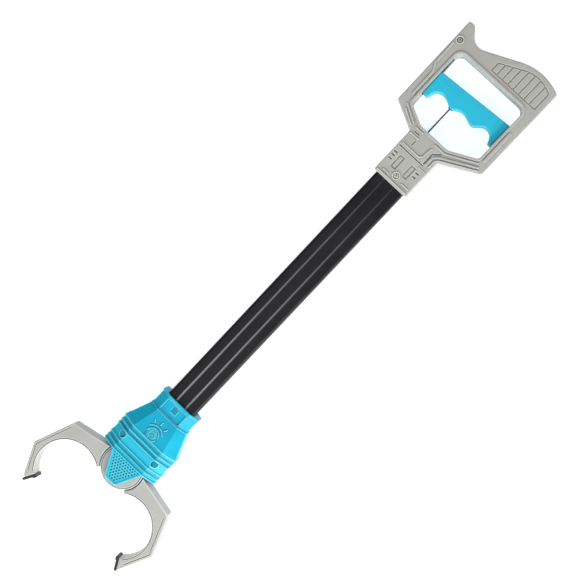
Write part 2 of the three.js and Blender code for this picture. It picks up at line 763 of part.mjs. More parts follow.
// The left jaw, with its hub in the upper layer. The right jaw is this one turned over.
function buildJaw() {
  const half = jawDepth / 2;
  let jaw = prism(jawOutline(), -half, half, jawBevel);
  const z0 = fit / 2;
  const web = new THREE.Shape();
  const webRadius = rootRadius + jawBevel + 0.4;
  const webEnd = rootEnd + 0.06;
  web.moveTo(0, 0);
  web.lineTo(webRadius * Math.cos(webEnd), webRadius * Math.sin(webEnd));
  web.absarc(0, 0, webRadius, webEnd, rootStart - 0.06, false);
  web.closePath();
  jaw = jaw.add(post(0, 0, z0, hubHigh, hubRadius, 40));
  jaw = jaw.add(prism(web, z0, hubHigh));
  jaw = jaw.add(camSolid(camPinDiameter / 2 + fit + camWall, z0, hubHigh));
  jaw = jaw.subtract(camSolid(camPinDiameter / 2 + fit, z0 - overcut, hubHigh + overcut));
  jaw = jaw.subtract(post(0, 0, -half, half, pivotDiameter / 2 + fit, 20));
  return jaw.subtract(placeOnTip(padTongueBlock(fit, -overcut)));
}

const turnedOver = (solid) => solid.rotate([180, 0, 0]);
const atPivot = (solid) => solid.translate([pivotX, 0, 0]);

function buildCap() {
  let cap = prism(circle(0, 0, capRadius), capLow, capHigh, 0.8);
  const skirt = new THREE.Shape();
  skirt.absarc(0, 0, capRadius, -Math.PI / 2, Math.PI / 2, false);
  skirt.absarc(0, 0, capRadius - capSkirt, Math.PI / 2, -Math.PI / 2, true);
  cap = cap.add(prism(skirt, armLow, capLow + 1));
  return cap.subtract(post(0, 0, 0, headDepth, pivotDiameter / 2 + fit, 20));
}

// ------------------------------------------------------------------ slider, rod and spring
const camPinX = pivotX - camRest;
const sliderFrontX = pivotX - sliderFront;
const sliderRearX = sliderFrontX - sliderLength;
const guideFaceX = tubeFront + fit;
const springStartX = guideFaceX + seatThickness + fit;
const springEndX = sliderRearX - fit;

function buildSlider() {
  const half = sliderWidth / 2;
  let slider = block(sliderRearX, sliderFrontX, -half, half, -armHigh, armHigh);
  const front = camPinX + camPinDiameter / 2 + camWall;
  for (const [z0, z1] of [[armLow, armHigh], [-armHigh, -armLow]]) {
    slider = slider.add(block(sliderFrontX - 1, front, -half + 1.5, half - 1.5, z0, z1));
  }
  const pinHole = camPinDiameter / 2 + fit / 2;
  slider = slider.subtract(post(camPinX, 0, -headDepth, headDepth, pinHole, screwSides));
  return slider.subtract(bar(sliderRearX - overcut, sliderFrontX + overcut, 0, rodDiameter / 2 + fit));
}

class RodPath extends THREE.Curve {
  constructor(startX, endX) {
    super();
    this.startX = startX;
    this.endX = endX;
  }

  // Straight, a smooth bend to the middle of the tube, and straight again.
  getPoint(t, target = new THREE.Vector3()) {
    const x = this.startX + (this.endX - this.startX) * t;
    const bend = neckFace + rodBendStart;
    const share = THREE.MathUtils.smootherstep(x, bend, bend + rodBendLength);
    return target.set(x, rodOffset * (1 - share), 0);
  }
}

function buildRod(startX, endX) {
  const section = new THREE.Shape().absarc(0, 0, rodDiameter / 2, 0, 2 * Math.PI);
  const geometry = new THREE.ExtrudeGeometry(section, {
    steps: rodSteps,
    curveSegments: 4,
    extrudePath: new RodPath(startX, endX),
  });
  return toSolid(geometry);
}

class Helix extends THREE.Curve {
  getPoint(t, target = new THREE.Vector3()) {
    const length = springEndX - springStartX - springWire;
    const angle = 2 * Math.PI * springTurns * t;
    const x = springStartX + springWire / 2 + length * t;
    return target.set(x, springRadius * Math.cos(angle), springRadius * Math.sin(angle));
  }
}

function buildSpring() {
  const section = new THREE.Shape().absarc(0, 0, springWire / 2 * 0.96, 0, 2 * Math.PI);
  const geometry = new THREE.ExtrudeGeometry(section, {
    steps: springTurns * springSteps,
    curveSegments: 3,
    extrudePath: new Helix(),
  });
  return toSolid(geometry);
}

function buildNut() {
  const hexagon = new THREE.Shape(Array.from({ length: 6 }, (_, i) => {
    const angle = i * Math.PI / 3;
    const radius = nutAcross / Math.sqrt(3);
    return new THREE.Vector2(radius * Math.cos(angle), radius * Math.sin(angle));
  }));
  const geometry = new THREE.ExtrudeGeometry(hexagon, { depth: nutThickness, bevelEnabled: false });
  geometry.rotateY(Math.PI / 2);
  geometry.translate(sliderFrontX + fit, 0, 0);
  const boreEnd = sliderFrontX + nutThickness + 2 * overcut;
  const bore = bar(sliderFrontX - overcut, boreEnd, 0, rodDiameter / 2 + fit);
  return toSolid(geometry).subtract(bore);
}

// A plug in the end of the tube, with a hole that guides the rod and one for the tube's screw.
function buildGuide(x0, x1, holeY, screw) {
  let plug = alongX(tubeSection(-tubeWall - fit), x0, x1);
  plug = plug.subtract(bar(x0 - overcut, x1 + overcut, holeY, rodDiameter / 2 + fit));
  return plug.subtract(screwCut(screw));
}

function buildFrontGuide() {
  const plug = buildGuide(tubeFront - 11, guideFaceX + 0.5, 0, tubeScrews[1]);
  const seat = alongX(tubeSection(-tubeWall), guideFaceX, guideFaceX + seatThickness);
  const bore = bar(guideFaceX - overcut, guideFaceX + seatThickness + overcut, 0, rodDiameter / 2 + fit);
  return plug.add(seat.subtract(bore));
}

// ------------------------------------------------------------------ assembly
const grabber = new THREE.Group();
const add = (name, solid, material) => grabber.add(toMesh(name, solid, material));

const [handleFront, handleBack] = buildHandleHalves();
add('handle_front_shell', handleFront, greyPlastic);
add('handle_back_shell', handleBack, greyPlastic);
handleScrews.forEach((screw, i) => add(`handle_screw_${i + 1}`, buildScrew(screw), steel));

const { trigger, crest } = buildTrigger();
add('trigger', trigger, triggerPlastic);
const ferruleEnd = crest + ferruleProud;
const ferrule = bar(ferruleEnd - ferruleLength, ferruleEnd, rodOffset, ferruleDiameter / 2)
  .subtract(bar(crest - ferruleLength - overcut, crest + 3 * overcut, rodOffset, rodDiameter / 2 + fit));
add('rod_ferrule', ferrule, steel);
add('pull_rod', buildRod(crest - rodInTrigger + fit, pivotX - rodEnd), steel);

add('shaft_tube', buildTube(), blackPlastic);
add('rear_rod_guide', buildGuide(tubeRear + 0.5, tubeRear + 28, rodOffset, tubeScrews[0]), naturalPlastic);
add('front_rod_guide', buildFrontGuide(), naturalPlastic);
for (const screw of tubeScrews) add(screw.name, buildScrew(screw), steel);

const [headFront, headBack] = buildHeadHalves();
add('head_front_shell', headFront, cyanPlastic);
add('head_back_shell', headBack, cyanPlastic);
headScrews.forEach((screw, i) => add(`head_screw_${i + 1}`, buildScrew(screw), steel));
const badgeFloor = badgeFace - badgeSunk + fit;
const badgeDisc = post(badgePlace + headFace, 0, badgeFloor, badgeFace + badgeProud, badgeRadius, 24);
add('head_badge', badgeDisc, cyanPlastic);

add('return_spring', buildSpring(), steel);
add('cam_slider', buildSlider(), naturalPlastic);
add('rod_nut', buildNut(), steel);
add('cam_pin', post(camPinX, 0, -armHigh, armHigh, camPinDiameter / 2 - fit / 2, screwSides), steel);

const jaw = buildJaw();
const pad = buildPad();
add('left_jaw', atPivot(jaw), greyPlastic);
add('right_jaw', atPivot(turnedOver(jaw)), greyPlastic);
add('left_jaw_pad', atPivot(pad), blackRubber);
add('right_jaw_pad', atPivot(turnedOver(pad)), blackRubber);
const cap = buildCap();
add('front_pivot_cap', atPivot(cap), greyPlastic);
add('back_pivot_cap', atPivot(turnedOver(cap)), greyPlastic);
add('pivot_pin', post(pivotX, 0, -capHigh, capHigh, pivotDiameter / 2, 20), steel);

const bounds = new THREE.Box3().setFromObject(grabber);
grabber.position.set(-(bounds.min.x + bounds.max.x) / 2, -(bounds.min.y + bounds.max.y) / 2, -bounds.min.z);

export default grabber;
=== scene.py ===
import bmesh
import bpy
import json
from math import atan, atan2, cos, pi, radians, sin, tan
from mathutils import Matrix, Vector
from mathutils.geometry import tessellate_polygon


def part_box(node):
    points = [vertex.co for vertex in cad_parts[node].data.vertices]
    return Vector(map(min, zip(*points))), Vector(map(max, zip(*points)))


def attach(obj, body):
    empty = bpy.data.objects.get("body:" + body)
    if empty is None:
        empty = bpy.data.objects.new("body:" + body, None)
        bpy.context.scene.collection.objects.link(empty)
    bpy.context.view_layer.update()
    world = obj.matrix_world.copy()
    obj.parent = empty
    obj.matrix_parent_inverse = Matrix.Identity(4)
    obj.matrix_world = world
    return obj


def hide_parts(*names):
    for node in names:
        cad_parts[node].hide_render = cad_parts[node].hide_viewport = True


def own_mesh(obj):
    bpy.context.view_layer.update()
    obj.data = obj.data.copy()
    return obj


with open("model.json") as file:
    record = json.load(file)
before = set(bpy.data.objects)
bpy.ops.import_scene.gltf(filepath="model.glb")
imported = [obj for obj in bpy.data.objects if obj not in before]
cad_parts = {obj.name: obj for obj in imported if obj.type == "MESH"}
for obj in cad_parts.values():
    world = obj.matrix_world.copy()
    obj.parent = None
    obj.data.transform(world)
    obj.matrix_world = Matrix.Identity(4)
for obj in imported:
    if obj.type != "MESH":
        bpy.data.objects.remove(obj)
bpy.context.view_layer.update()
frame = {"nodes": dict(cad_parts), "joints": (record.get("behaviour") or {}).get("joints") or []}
mm = 0.001


def boxOf(node):
    low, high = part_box(node)
    return low / mm, high / mm


# places that the pieces are measured from, in millimetres
neckFaceX = boxOf("handle_front_shell")[1].x
headFaceX = boxOf("head_front_shell")[0].x
pivotLow, pivotHigh = boxOf("pivot_pin")
pivotX = (pivotLow.x + pivotHigh.x) / 2
middleZ = (pivotLow.z + pivotHigh.z) / 2
slide = frame["joints"][0]
halfGap = 0.15                       # half the fine gap between two shell halves
neckPlace = Vector((neckFaceX, 0, middleZ))
headPlace = Vector((headFaceX, 0, middleZ))
pivotPlace = Vector((pivotX, 0, middleZ))
print("frame loaded, neck at", round(neckFaceX, 2), "pivot at", round(pivotX, 2))


# outlines, as lists of points that run anticlockwise

def signedArea(points):
    return sum(a[0] * b[1] - b[0] * a[1] for a, b in zip(points, points[1:] + points[:1])) / 2


def anticlockwise(points):
    return points if signedArea(points) > 0 else points[::-1]


def roundLoop(corners, steps=6):
    # corners are (x, y, radius), each turned into an arc between its tangent points
    points = []
    for i, (x, y, radius) in enumerate(corners):
        corner = Vector((x, y))
        toBefore = (Vector(corners[i - 1][:2]) - corner).normalized()
        toAfter = (Vector(corners[(i + 1) % len(corners)][:2]) - corner).normalized()
        if radius <= 0:
            points.append((x, y))
            continue
        half = toBefore.angle(toAfter) / 2
        centre = corner + (toBefore + toAfter).normalized() * radius / sin(half)
        start = corner + toBefore * radius / tan(half) - centre
        end = corner + toAfter * radius / tan(half) - centre
        turn = pi - 2 * half
        for k in range(steps + 1):
            share = k / steps
            spoke = (start * sin((1 - share) * turn) + end * sin(share * turn)) / sin(turn)
            points.append(tuple(centre + spoke))
    return anticlockwise(points)


def rectangle(x0, x1, y0, y1, radius=0.4, steps=4):
    return roundLoop([(x0, y0, radius), (x1, y0, radius), (x1, y1, radius), (x0, y1, radius)], steps)


def arcPoints(x, y, radius, start, end, steps):
    angles = [start + (end - start) * i / steps for i in range(steps + 1)]
    return [(x + radius * cos(a), y + radius * sin(a)) for a in angles]


def circle(x, y, radius, count=32):
    return arcPoints(x, y, radius, 0, 2 * pi, count)[:-1]


def offset(points, distance):
    # every edge moved inwards by distance, outwards where it is negative
    moved = []
    for i, (x, y) in enumerate(points):
        before, after = points[i - 1], points[(i + 1) % len(points)]
        arrive = Vector((x - before[0], y - before[1])).normalized()
        leave = Vector((after[0] - x, after[1] - y)).normalized()
        normalA, normalB = Vector((-arrive.y, arrive.x)), Vector((-leave.y, leave.x))
        reach = distance / max(1 + normalA.dot(normalB), 0.3)
        moved.append((x + (normalA.x + normalB.x) * reach, y + (normalA.y + normalB.y) * reach))
    return moved


def ribbon(path, width, ends=0.6):
    # the outline of a band of constant width along an open path
    left, right = [], []
    for i, point in enumerate(path):
        before = Vector(path[max(i - 1, 0)])
        after = Vector(path[min(i + 1, len(path) - 1)])
        here = Vector(point)
        arrive = (here - before).normalized() if i else (after - here).normalized()
        leave = (after - here).normalized() if i + 1 < len(path) else arrive
        across = Vector((-arrive.y - leave.y, arrive.x + leave.x))
        reach = width / 2 * 2 / max(across.length_squared, 0.6)
        left.append(here + across * reach)
        right.append(here - across * reach)
    corners = [(p.x, p.y, ends) for p in left + right[::-1]]
    return roundLoop(corners, 4)


def clipBand(points, low, high):
    # the part of an outline between two values of y
    for limit, sign in ((low, 1), (high, -1)):
        kept = []
        for a, b in zip(points, points[1:] + points[:1]):
            insideA, insideB = sign * (a[1] - limit) >= 0, sign * (b[1] - limit) >= 0
            if insideA:
                kept.append(a)
            if insideA != insideB:
                share = (limit - a[1]) / (b[1] - a[1])
                kept.append((a[0] + (b[0] - a[0]) * share, limit))
        points = kept
    return points


# solids with stepped faces: rings of points joined by bands, flat faces between them

def ringAt(mesh, points, z):
    return [mesh.verts.new((x, y, z)) for x, y in points]


def band(mesh, first, second, closed=True):
    count = len(first)
    for i in range(count if closed else count - 1):
        j = (i + 1) % count
        mesh.faces.new((first[i], first[j], second[j], second[i]))


def bands(mesh, rings):
    for first, second in zip(rings, rings[1:]):
        band(mesh, first, second)


def mirrored(mesh, facing):
    # turned over for a back half
    if facing < 0:
        bmesh.ops.scale(mesh, vec=(1, 1, -1), verts=mesh.verts)


def fillFlat(mesh, outer, holes=()):
    loops = [outer, *holes]
    corners = [vertex for loop in loops for vertex in loop]
    for triangle in tessellate_polygon([[v.co for v in loop] for loop in loops]):
        if len(set(triangle)) == 3:
            mesh.faces.new([corners[i] for i in triangle])


def quarter(steps):
    return [pi / 2 * k / steps for k in range(steps + 1)]


def footProfile(foot, sign):
    # (inset, rise) of a rounded start from a flat face
    return [(-foot + foot * sin(t), sign * foot * (1 - cos(t))) for t in quarter(3)]


def stepProfile(height, foot, top):
    # from a flat face to the next one, with a rounded start and a rounded end
    sign = 1 if height > 0 else -1
    end = [(top - top * cos(t), height - sign * top * (1 - sin(t))) for t in quarter(3)]
    return footProfile(foot, sign) + end


def rimProfile(rounding, high, steps=4):
    # (inset, z) from a high face over its rounded rim to the wall
    return [(rounding - rounding * sin(t), high - rounding * (1 - cos(t))) for t in quarter(steps)]


def flatFace(mesh, ring, z, marks, openings):
    # marks are raised or sunk shapes on the face, which may carry marks of their own
    holes = []
    for mark in marks:
        foot = mark.get("foot", 0.25)
        if "through" in mark:
            profile = footProfile(foot, -1) + [(0, mark["through"] - z)]
        else:
            profile = stepProfile(mark["height"], foot, mark.get("top", 0.25))
        rings = [ringAt(mesh, offset(mark["loop"], inset), z + rise) for inset, rise in profile]
        bands(mesh, rings)
        holes.append(rings[0])
        if "through" in mark:
            openings.append(rings[-1])
        else:
            flatFace(mesh, rings[-1], z + profile[-1][1], mark.get("inside", []), openings)
    fillFlat(mesh, ring, holes)


def slab(mesh, loop, low, high, topRound, lowRound, marks=(), steps=4):
    # an outline raised from low to high with both rims rounded; marks lie on the high face
    walls = rimProfile(topRound, high, steps)
    walls += [(lowRound - lowRound * cos(t), low + lowRound * (1 - sin(t))) for t in quarter(steps)]
    rings = [ringAt(mesh, offset(loop, inset), z) for inset, z in walls]
    bands(mesh, rings)
    openings = []
    flatFace(mesh, rings[0], high, marks, openings)
    fillFlat(mesh, rings[-1], openings)


def twoFaced(mesh, loop, half, edge, marks):
    # a slab about z = 0 with the same rounded rim and the same marks on both faces
    for sign in (1, -1):
        side = bmesh.new()
        walls = rimProfile(edge, half) + [(0, 0)]
        rings = [ringAt(side, offset(loop, inset), z) for inset, z in walls]
        bands(side, rings)
        flatFace(side, rings[0], half, marks, [])
        mirrored(side, sign)
        part = bpy.data.meshes.new("side")
        side.to_mesh(part)
        side.free()
        mesh.from_mesh(part)
        bpy.data.meshes.remove(part)


def lathe(mesh, profile, count, closed=False):
    # profile is (radius, height) round the Z axis
    rings = []
    for radius, z in profile:
        if radius == 0:
            rings.append([mesh.verts.new((0, 0, z))] * count)
        else:
            rings.append(ringAt(mesh, circle(0, 0, radius, count), z))
    pairs = list(zip(rings, rings[1:])) + ([(rings[-1], rings[0])] if closed else [])
    for first, second in pairs:
        for i in range(count):
            j = (i + 1) % count
            corners = list(dict.fromkeys((first[i], first[j], second[j], second[i])))
            mesh.faces.new(corners)


def block(mesh, low, high):
    ring = rectangle(low[0], high[0], low[1], high[1], 0)
    bottom, top = ringAt(mesh, ring, low[2]), ringAt(mesh, ring, high[2])
    band(mesh, bottom, top)
    mesh.faces.new(bottom)
    mesh.faces.new(top)


def sweep(mesh, path, radius, count=16):
    # a round bar along points in space, with its ends slightly rounded
    points = [Vector(p) for p in path]
    tangent = (points[1] - points[0]).normalized()
    side = tangent.orthogonal().normalized()
    rings = []
    for i, point in enumerate(points):
        ahead = (points[min(i + 1, len(points) - 1)] - points[max(i - 1, 0)]).normalized()
        side = (side - ahead * side.dot(ahead)).normalized()
        up = ahead.cross(side)
        angles = [2 * pi * k / count for k in range(count)]
        spokes = [side * cos(a) + up * sin(a) for a in angles]
        rings.append([mesh.verts.new(point + spoke * radius) for spoke in spokes])
    bands(mesh, rings)
    mesh.faces.new(rings[0])
    mesh.faces.new(rings[-1])


# from a mesh in millimetres to a finished piece

def plain(piece):
    # the piece's modifiers worked into its mesh
    graph = bpy.context.evaluated_depsgraph_get()
    result = bpy.data.meshes.new_from_object(piece.evaluated_get(graph), depsgraph=graph)
    old = piece.data
    piece.modifiers.clear()
    piece.data = result
    result.name = piece.name
    bpy.data.meshes.remove(old)


def link(name, data):
    made = bpy.data.objects.new(name, data)
    bpy.context.scene.collection.objects.link(made)
    return made


def toObject(name, mesh, place=(0, 0, 0), turn=None):
    bmesh.ops.remove_doubles(mesh, verts=mesh.verts, dist=1e-4)
    matrix = Matrix.Translation(Vector(place)) @ (turn.to_4x4() if turn else Matrix())
    bmesh.ops.transform(mesh, matrix=Matrix.Scale(mm, 4) @ matrix, verts=mesh.verts)
    bmesh.ops.recalc_face_normals(mesh, faces=mesh.faces)
    data = bpy.data.meshes.new(name)
    mesh.to_mesh(data)
    mesh.free()
    return link(name, data)


def combine(piece, tool, operation):
    # a boolean with a tool object, which is used up
    cut = piece.modifiers.new("cut", "BOOLEAN")
    cut.operation = operation
    cut.solver = "EXACT"
    cut.object = tool
    bpy.context.view_layer.update()
    plain(piece)
    bpy.data.objects.remove(tool)


def slabTool(piece, operation, loop, low, high, topRound, lowRound, place, turn=None, facing=1, marks=()):
    # a slab joined to a piece or cut from it
    mesh = bmesh.new()
    slab(mesh, loop, low, high, topRound, lowRound, marks)
    mirrored(mesh, facing)
    combine(piece, toObject("tool", mesh, place, turn), operation)


def turnOver(side):
    return Matrix() if side > 0 else Matrix.Rotation(pi, 4, "X")


def smooth(piece, sharpAngle=32):
    data = piece.data
    for polygon in data.polygons:
        polygon.use_smooth = True
    data.set_sharp_from_angle(angle=radians(sharpAngle))
    normals = piece.modifiers.new("normals", "WEIGHTED_NORMAL")
    normals.keep_sharp = True
    bpy.context.view_layer.update()
    plain(piece)
    return piece


def dress(piece, material, slotName, body, *nodes):
    piece.data.materials.clear()
    piece.data.materials.append(material)
    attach(piece, body)
    if nodes:
        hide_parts(*nodes)
    return piece


# materials: every pattern reads Object coordinates

def feed(tree, node, inputs):
    # a socket is linked to the input, anything else is set on it
    for key, value in inputs.items():
        if isinstance(value, bpy.types.NodeSocket):
            tree.links.new(value, node.inputs[key])
        else:
            node.inputs[key].default_value = value


def addNode(tree, kind, inputs=None, **settings):
    made = tree.nodes.new(kind)
    for key, value in settings.items():
        setattr(made, key, value)
    feed(tree, made, inputs or {})
    return made


def newMaterial(name):
    material = bpy.data.materials.new(name)
    material.use_nodes = True
    tree = material.node_tree
    shader = tree.nodes["Principled BSDF"]
    where = addNode(tree, "ShaderNodeTexCoord").outputs["Object"]
    return material, tree, shader, where


def ramp(tree, value, fromMin, fromMax, toMin=0.0, toMax=1.0):
    ends = {"From Min": fromMin, "From Max": fromMax, "To Min": toMin, "To Max": toMax}
    return addNode(tree, "ShaderNodeMapRange", {"Value": value, **ends}).outputs["Result"]


def spread(tree, value, low, high):
    # the middle of a noise pattern stretched over a range
    return ramp(tree, value, 0.3, 0.7, low, high)


def maths(tree, operation, *values):
    return addNode(tree, "ShaderNodeMath", dict(enumerate(values)), operation=operation).outputs[0]


def blend(tree, factor, *colours):
    # between two colours, each a socket or three numbers
    first, second = (colour + (1,) if isinstance(colour, tuple) else colour for colour in colours)
    inputs = {"Factor": factor, 6: first, 7: second}
    return addNode(tree, "ShaderNodeMix", inputs, data_type="RGBA").outputs[2]


def noise(tree, where, scale, detail):
    made = addNode(tree, "ShaderNodeTexNoise", {"Vector": where, "Scale": scale, "Detail": detail})
    return made.outputs["Fac"]


def relief(tree, shader, height, strength, distance):
    made = addNode(tree, "ShaderNodeBump", {"Height": height, "Strength": strength, "Distance": distance})
    feed(tree, shader, {"Normal": made.outputs["Normal"]})


def shade(colour, amount):
    return tuple(min(max(c * amount, 0), 1) for c in colour)


def edgeHighlightMask(tree, reach, strength):
    # 0 on broad faces, rising along outer edges and over narrow ribs, where the painted highlights go
    inner = addNode(tree, "ShaderNodeAmbientOcclusion", {"Distance": reach},
                    samples=10, inside=True, only_local=True)
    return ramp(tree, inner.outputs["AO"], 0.93, 0.6, 0.0, strength)


def openMask(tree, reach, local):
    # 1 on open faces, falling to 0 down in grooves and recesses, and near other pieces unless local; the
    # painted shade goes there
    near = addNode(tree, "ShaderNodeAmbientOcclusion", {"Distance": reach}, samples=8, only_local=local)
    return ramp(tree, near.outputs["AO"], 0.5, 0.93)


plasticLook = {
    "edgeReach": 0.0009, "creaseReach": 0.0026, "creaseShade": 0.35, "creaseLocal": False,
    "roughness": 0.5, "roughLess": 0.05, "roughMore": 0.07, "specular": 0.3,
    "cloudScale": 60, "tintRange": 0.05,
    "grainScale": 2300, "grain": 0.14, "grainDepth": 0.00012, "pitShare": 0.6,
}


def mouldedPlastic(name, colour, highlightColour, highlightStrength, **changes):
    # moulded plastic: cloudy tint, fine moulded grain, painted highlights along edges and over narrow ribs,
    # painted shade in creases and in gaps between parts
    look = {**plasticLook, **changes}
    material, tree, shader, where = newMaterial(name)
    clouds = noise(tree, where, look["cloudScale"], 4.0)
    specks = noise(tree, where, look["grainScale"], 2.0)
    darker, lighter = shade(colour, 1 - look["tintRange"]), shade(colour, 1 + look["tintRange"])
    tint = blend(tree, spread(tree, clouds, 0.0, 1.0), darker, lighter)
    along = addNode(tree, "ShaderNodeSeparateXYZ", {"Vector": where}).outputs["X"]
    if "faded" in look:
        # beyond a place along the tool the plastic is a little paler
        start, end, paler = look["faded"]
        tint = blend(tree, ramp(tree, along, start, end), tint, paler)
    outer = openMask(tree, look["creaseReach"], look["creaseLocal"])
    mask = edgeHighlightMask(tree, look["edgeReach"], highlightStrength)
    if "wideEdge" in look:
        # short of a place along the tool the painted edge highlight is wider
        start, end, reach = look["wideEdge"]
        wide = maths(tree, "MULTIPLY", edgeHighlightMask(tree, reach, 1.0), ramp(tree, along, start, end, 1.0, 0.0))
        mask = maths(tree, "MAXIMUM", mask, wide)
    # painted highlight: the edge mask, kept out of creases, blends the tint towards the highlight colour
    edge = blend(tree, maths(tree, "MULTIPLY", mask, outer), tint, highlightColour)
    # painted shade: down in creases and next to other pieces the colour falls to the darkened crease shade
    crease = blend(tree, outer, shade(colour, look["creaseShade"]), edge)
    rough = spread(tree, specks, look["roughness"] - look["roughLess"], look["roughness"] + look["roughMore"])
    feed(tree, shader, {"Base Color": crease, "Roughness": rough, "Specular IOR Level": look["specular"]})
    pitScale = look["grainScale"] * look["pitShare"]
    pits = addNode(tree, "ShaderNodeTexVoronoi", {"Vector": where, "Scale": pitScale}).outputs["Distance"]
    relief(tree, shader, maths(tree, "ADD", specks, pits), look["grain"], look["grainDepth"])
    return material


# each finish below: the second colour and the number after it set the painted edge highlight; the crease
# shade value sets the painted shade in creases
greyGrain = {"creaseLocal": True, "cloudScale": 45, "grainScale": 1900, "grain": 0.28, "specular": 0.35}
greyPlastic = mouldedPlastic("greyPlastic", (0.43, 0.435, 0.405), (0.78, 0.78, 0.75), 0.95,
                             creaseShade=0.4, **greyGrain)
jawPlastic = mouldedPlastic("jawPlastic", (0.43, 0.43, 0.405), (0.86, 0.86, 0.84), 0.8,
                            creaseShade=0.3, wideEdge=(0.2255, 0.2285, 0.0019), **greyGrain)
cyanPlastic = mouldedPlastic("cyanPlastic", (0.001, 0.41, 0.62), (0.26, 0.93, 0.98), 1.0,
                             faded=(0.1795, 0.1815, (0.02, 0.5, 0.69)), creaseReach=0.0028, creaseShade=0.38,
                             roughness=0.34, tintRange=0.07, specular=0.15)
# a darker copy of the cyan as painted shade, for the plugs down in the head's recesses; its faint edge colour
# is a painted highlight
deepCyan = mouldedPlastic("deepCyan", (0.001, 0.25, 0.4), (0.02, 0.36, 0.52), 0.2,
                          edgeReach=0.0003, creaseReach=0.0016, roughness=0.4, tintRange=0.06)
# the trigger's crease shade also reaches from the rails, painted shade at the slot ends
triggerPlastic = mouldedPlastic("triggerPlastic", (0.018, 0.5, 0.71), (0.45, 0.88, 0.95), 0.85,
                                creaseReach=0.0024, creaseShade=0.2, roughness=0.42, cloudScale=70,
                                grainScale=2100, grain=0.25)
naturalPlastic = mouldedPlastic("naturalPlastic", (0.62, 0.61, 0.56), (0.75, 0.74, 0.7), 0.3,
                                edgeReach=0.0004, creaseReach=0.002, creaseShade=0.5, creaseLocal=True,
                                roughness=0.45, cloudScale=90, tintRange=0.04, grainScale=2500, grain=0.15,
                                specular=0.5)


def drawnLines(tree, shader, where, look):
    # fine lines along the tool, in the roughness and in the relief
    stretched = addNode(tree, "ShaderNodeMapping", {"Vector": where, "Scale": look["stretch"]})
    lines = noise(tree, stretched.outputs["Vector"], 1.0, 3.0)
    feed(tree, shader, {"Roughness": spread(tree, lines, *look["rough"])})
    relief(tree, shader, lines, *look["lineRelief"])


tubeLook = {
    "dark": (0.005, 0.0045, 0.006), "pale": (0.01, 0.0095, 0.0125), "edge": (0.75, 0.74, 0.78),
    # the edge colour, its reach and strength, and the groove lines paint highlights on the tube, scaled along
    # X
    "edgeReach": 0.0006, "highlightStrength": 0.8, "highlightAlong": (-0.14, 0.13, 0.04, 0.5),   # along X, from and to
    "groovePlace": 0.0057, "grooveLine": (0.0003, 0.0009),
    "stretch": (3.0, 700.0, 700.0), "rough": (0.3, 0.42), "lineRelief": (0.12, 0.0001), "specular": 0.16,
}


def tubeBlack(look):
    # extruded black tube: faint draw lines, painted highlights along its edges and groove lines, stronger
    # towards the head
    material, tree, shader, where = newMaterial("blackTube")
    clouds = noise(tree, where, 38.0, 5.0)
    tint = blend(tree, spread(tree, clouds, 0.0, 1.0), look["dark"], look["pale"])
    place = addNode(tree, "ShaderNodeSeparateXYZ", {"Vector": where})
    aside = maths(tree, "ABSOLUTE", place.outputs["Y"])
    apart = maths(tree, "ABSOLUTE", maths(tree, "SUBTRACT", aside, look["groovePlace"]))
    groove = ramp(tree, apart, *look["grooveLine"], 1.0, 0.0)
    bright = maths(tree, "MAXIMUM", edgeHighlightMask(tree, look["edgeReach"], look["highlightStrength"]), groove)
    # painted highlight: edge and groove lines lightened, more towards the head
    highlightShare = maths(tree, "MULTIPLY", bright, ramp(tree, place.outputs["X"], *look["highlightAlong"]))
    highlighted = blend(tree, highlightShare, tint, look["edge"])
    feed(tree, shader, {"Base Color": highlighted, "Specular IOR Level": look["specular"]})
    drawnLines(tree, shader, where, look)
    return material


def padRubber(look):
    # dull rubber with a fine skin and a trace of dust
    material, tree, shader, where = newMaterial("padRubber")
    dust = noise(tree, where, 300.0, 5.0)
    tint = blend(tree, spread(tree, dust, 0.0, 1.0), look["dark"], look["pale"])
    rough = spread(tree, dust, *look["rough"])
    feed(tree, shader, {"Base Color": tint, "Roughness": rough, "Sheen Weight": look["sheen"]})
    relief(tree, shader, noise(tree, where, 2600.0, 3.0), 0.35, 0.0001)
    return material


def drawnSteel(name, dark, pale, rough):
    # drawn wire and turned screws: fine lines, slight tarnish
    material, tree, shader, where = newMaterial(name)
    tarnish = noise(tree, where, 420.0, 4.0)
    tint = blend(tree, spread(tree, tarnish, 0.0, 1.0), dark, pale)
    feed(tree, shader, {"Base Color": tint, "Metallic": 1.0})
    drawnLines(tree, shader, where, {
        "stretch": (60.0, 2400.0, 2400.0), "rough": (rough - 0.08, rough + 0.1), "lineRelief": (0.1, 0.00005),
    })
    return material


blackTube = tubeBlack(tubeLook)
blackRubber = padRubber({"dark": (0.012, 0.01, 0.016), "pale": (0.03, 0.026, 0.036), "rough": (0.62, 0.82),
                         "sheen": 0.15})
steel = drawnSteel("plainSteel", (0.36, 0.36, 0.38), (0.55, 0.56, 0.58), 0.32)
zincSteel = drawnSteel("zincSteel", (0.58, 0.57, 0.55), (0.72, 0.71, 0.69), 0.55)
dullSteel = drawnSteel("dullSteel", (0.1, 0.095, 0.1), (0.17, 0.165, 0.17), 0.5)
print("materials made")


# camera, floor and light
cameraView = {
    "azimuth": 150.98, "elevation": 81.85, "distance": 1055.06, "roll": -107.48, "focalLength": 71.875,
    "target": (-7.23, -2.58, 0.0),   # from the middle of the tool, at its mid-plane
}


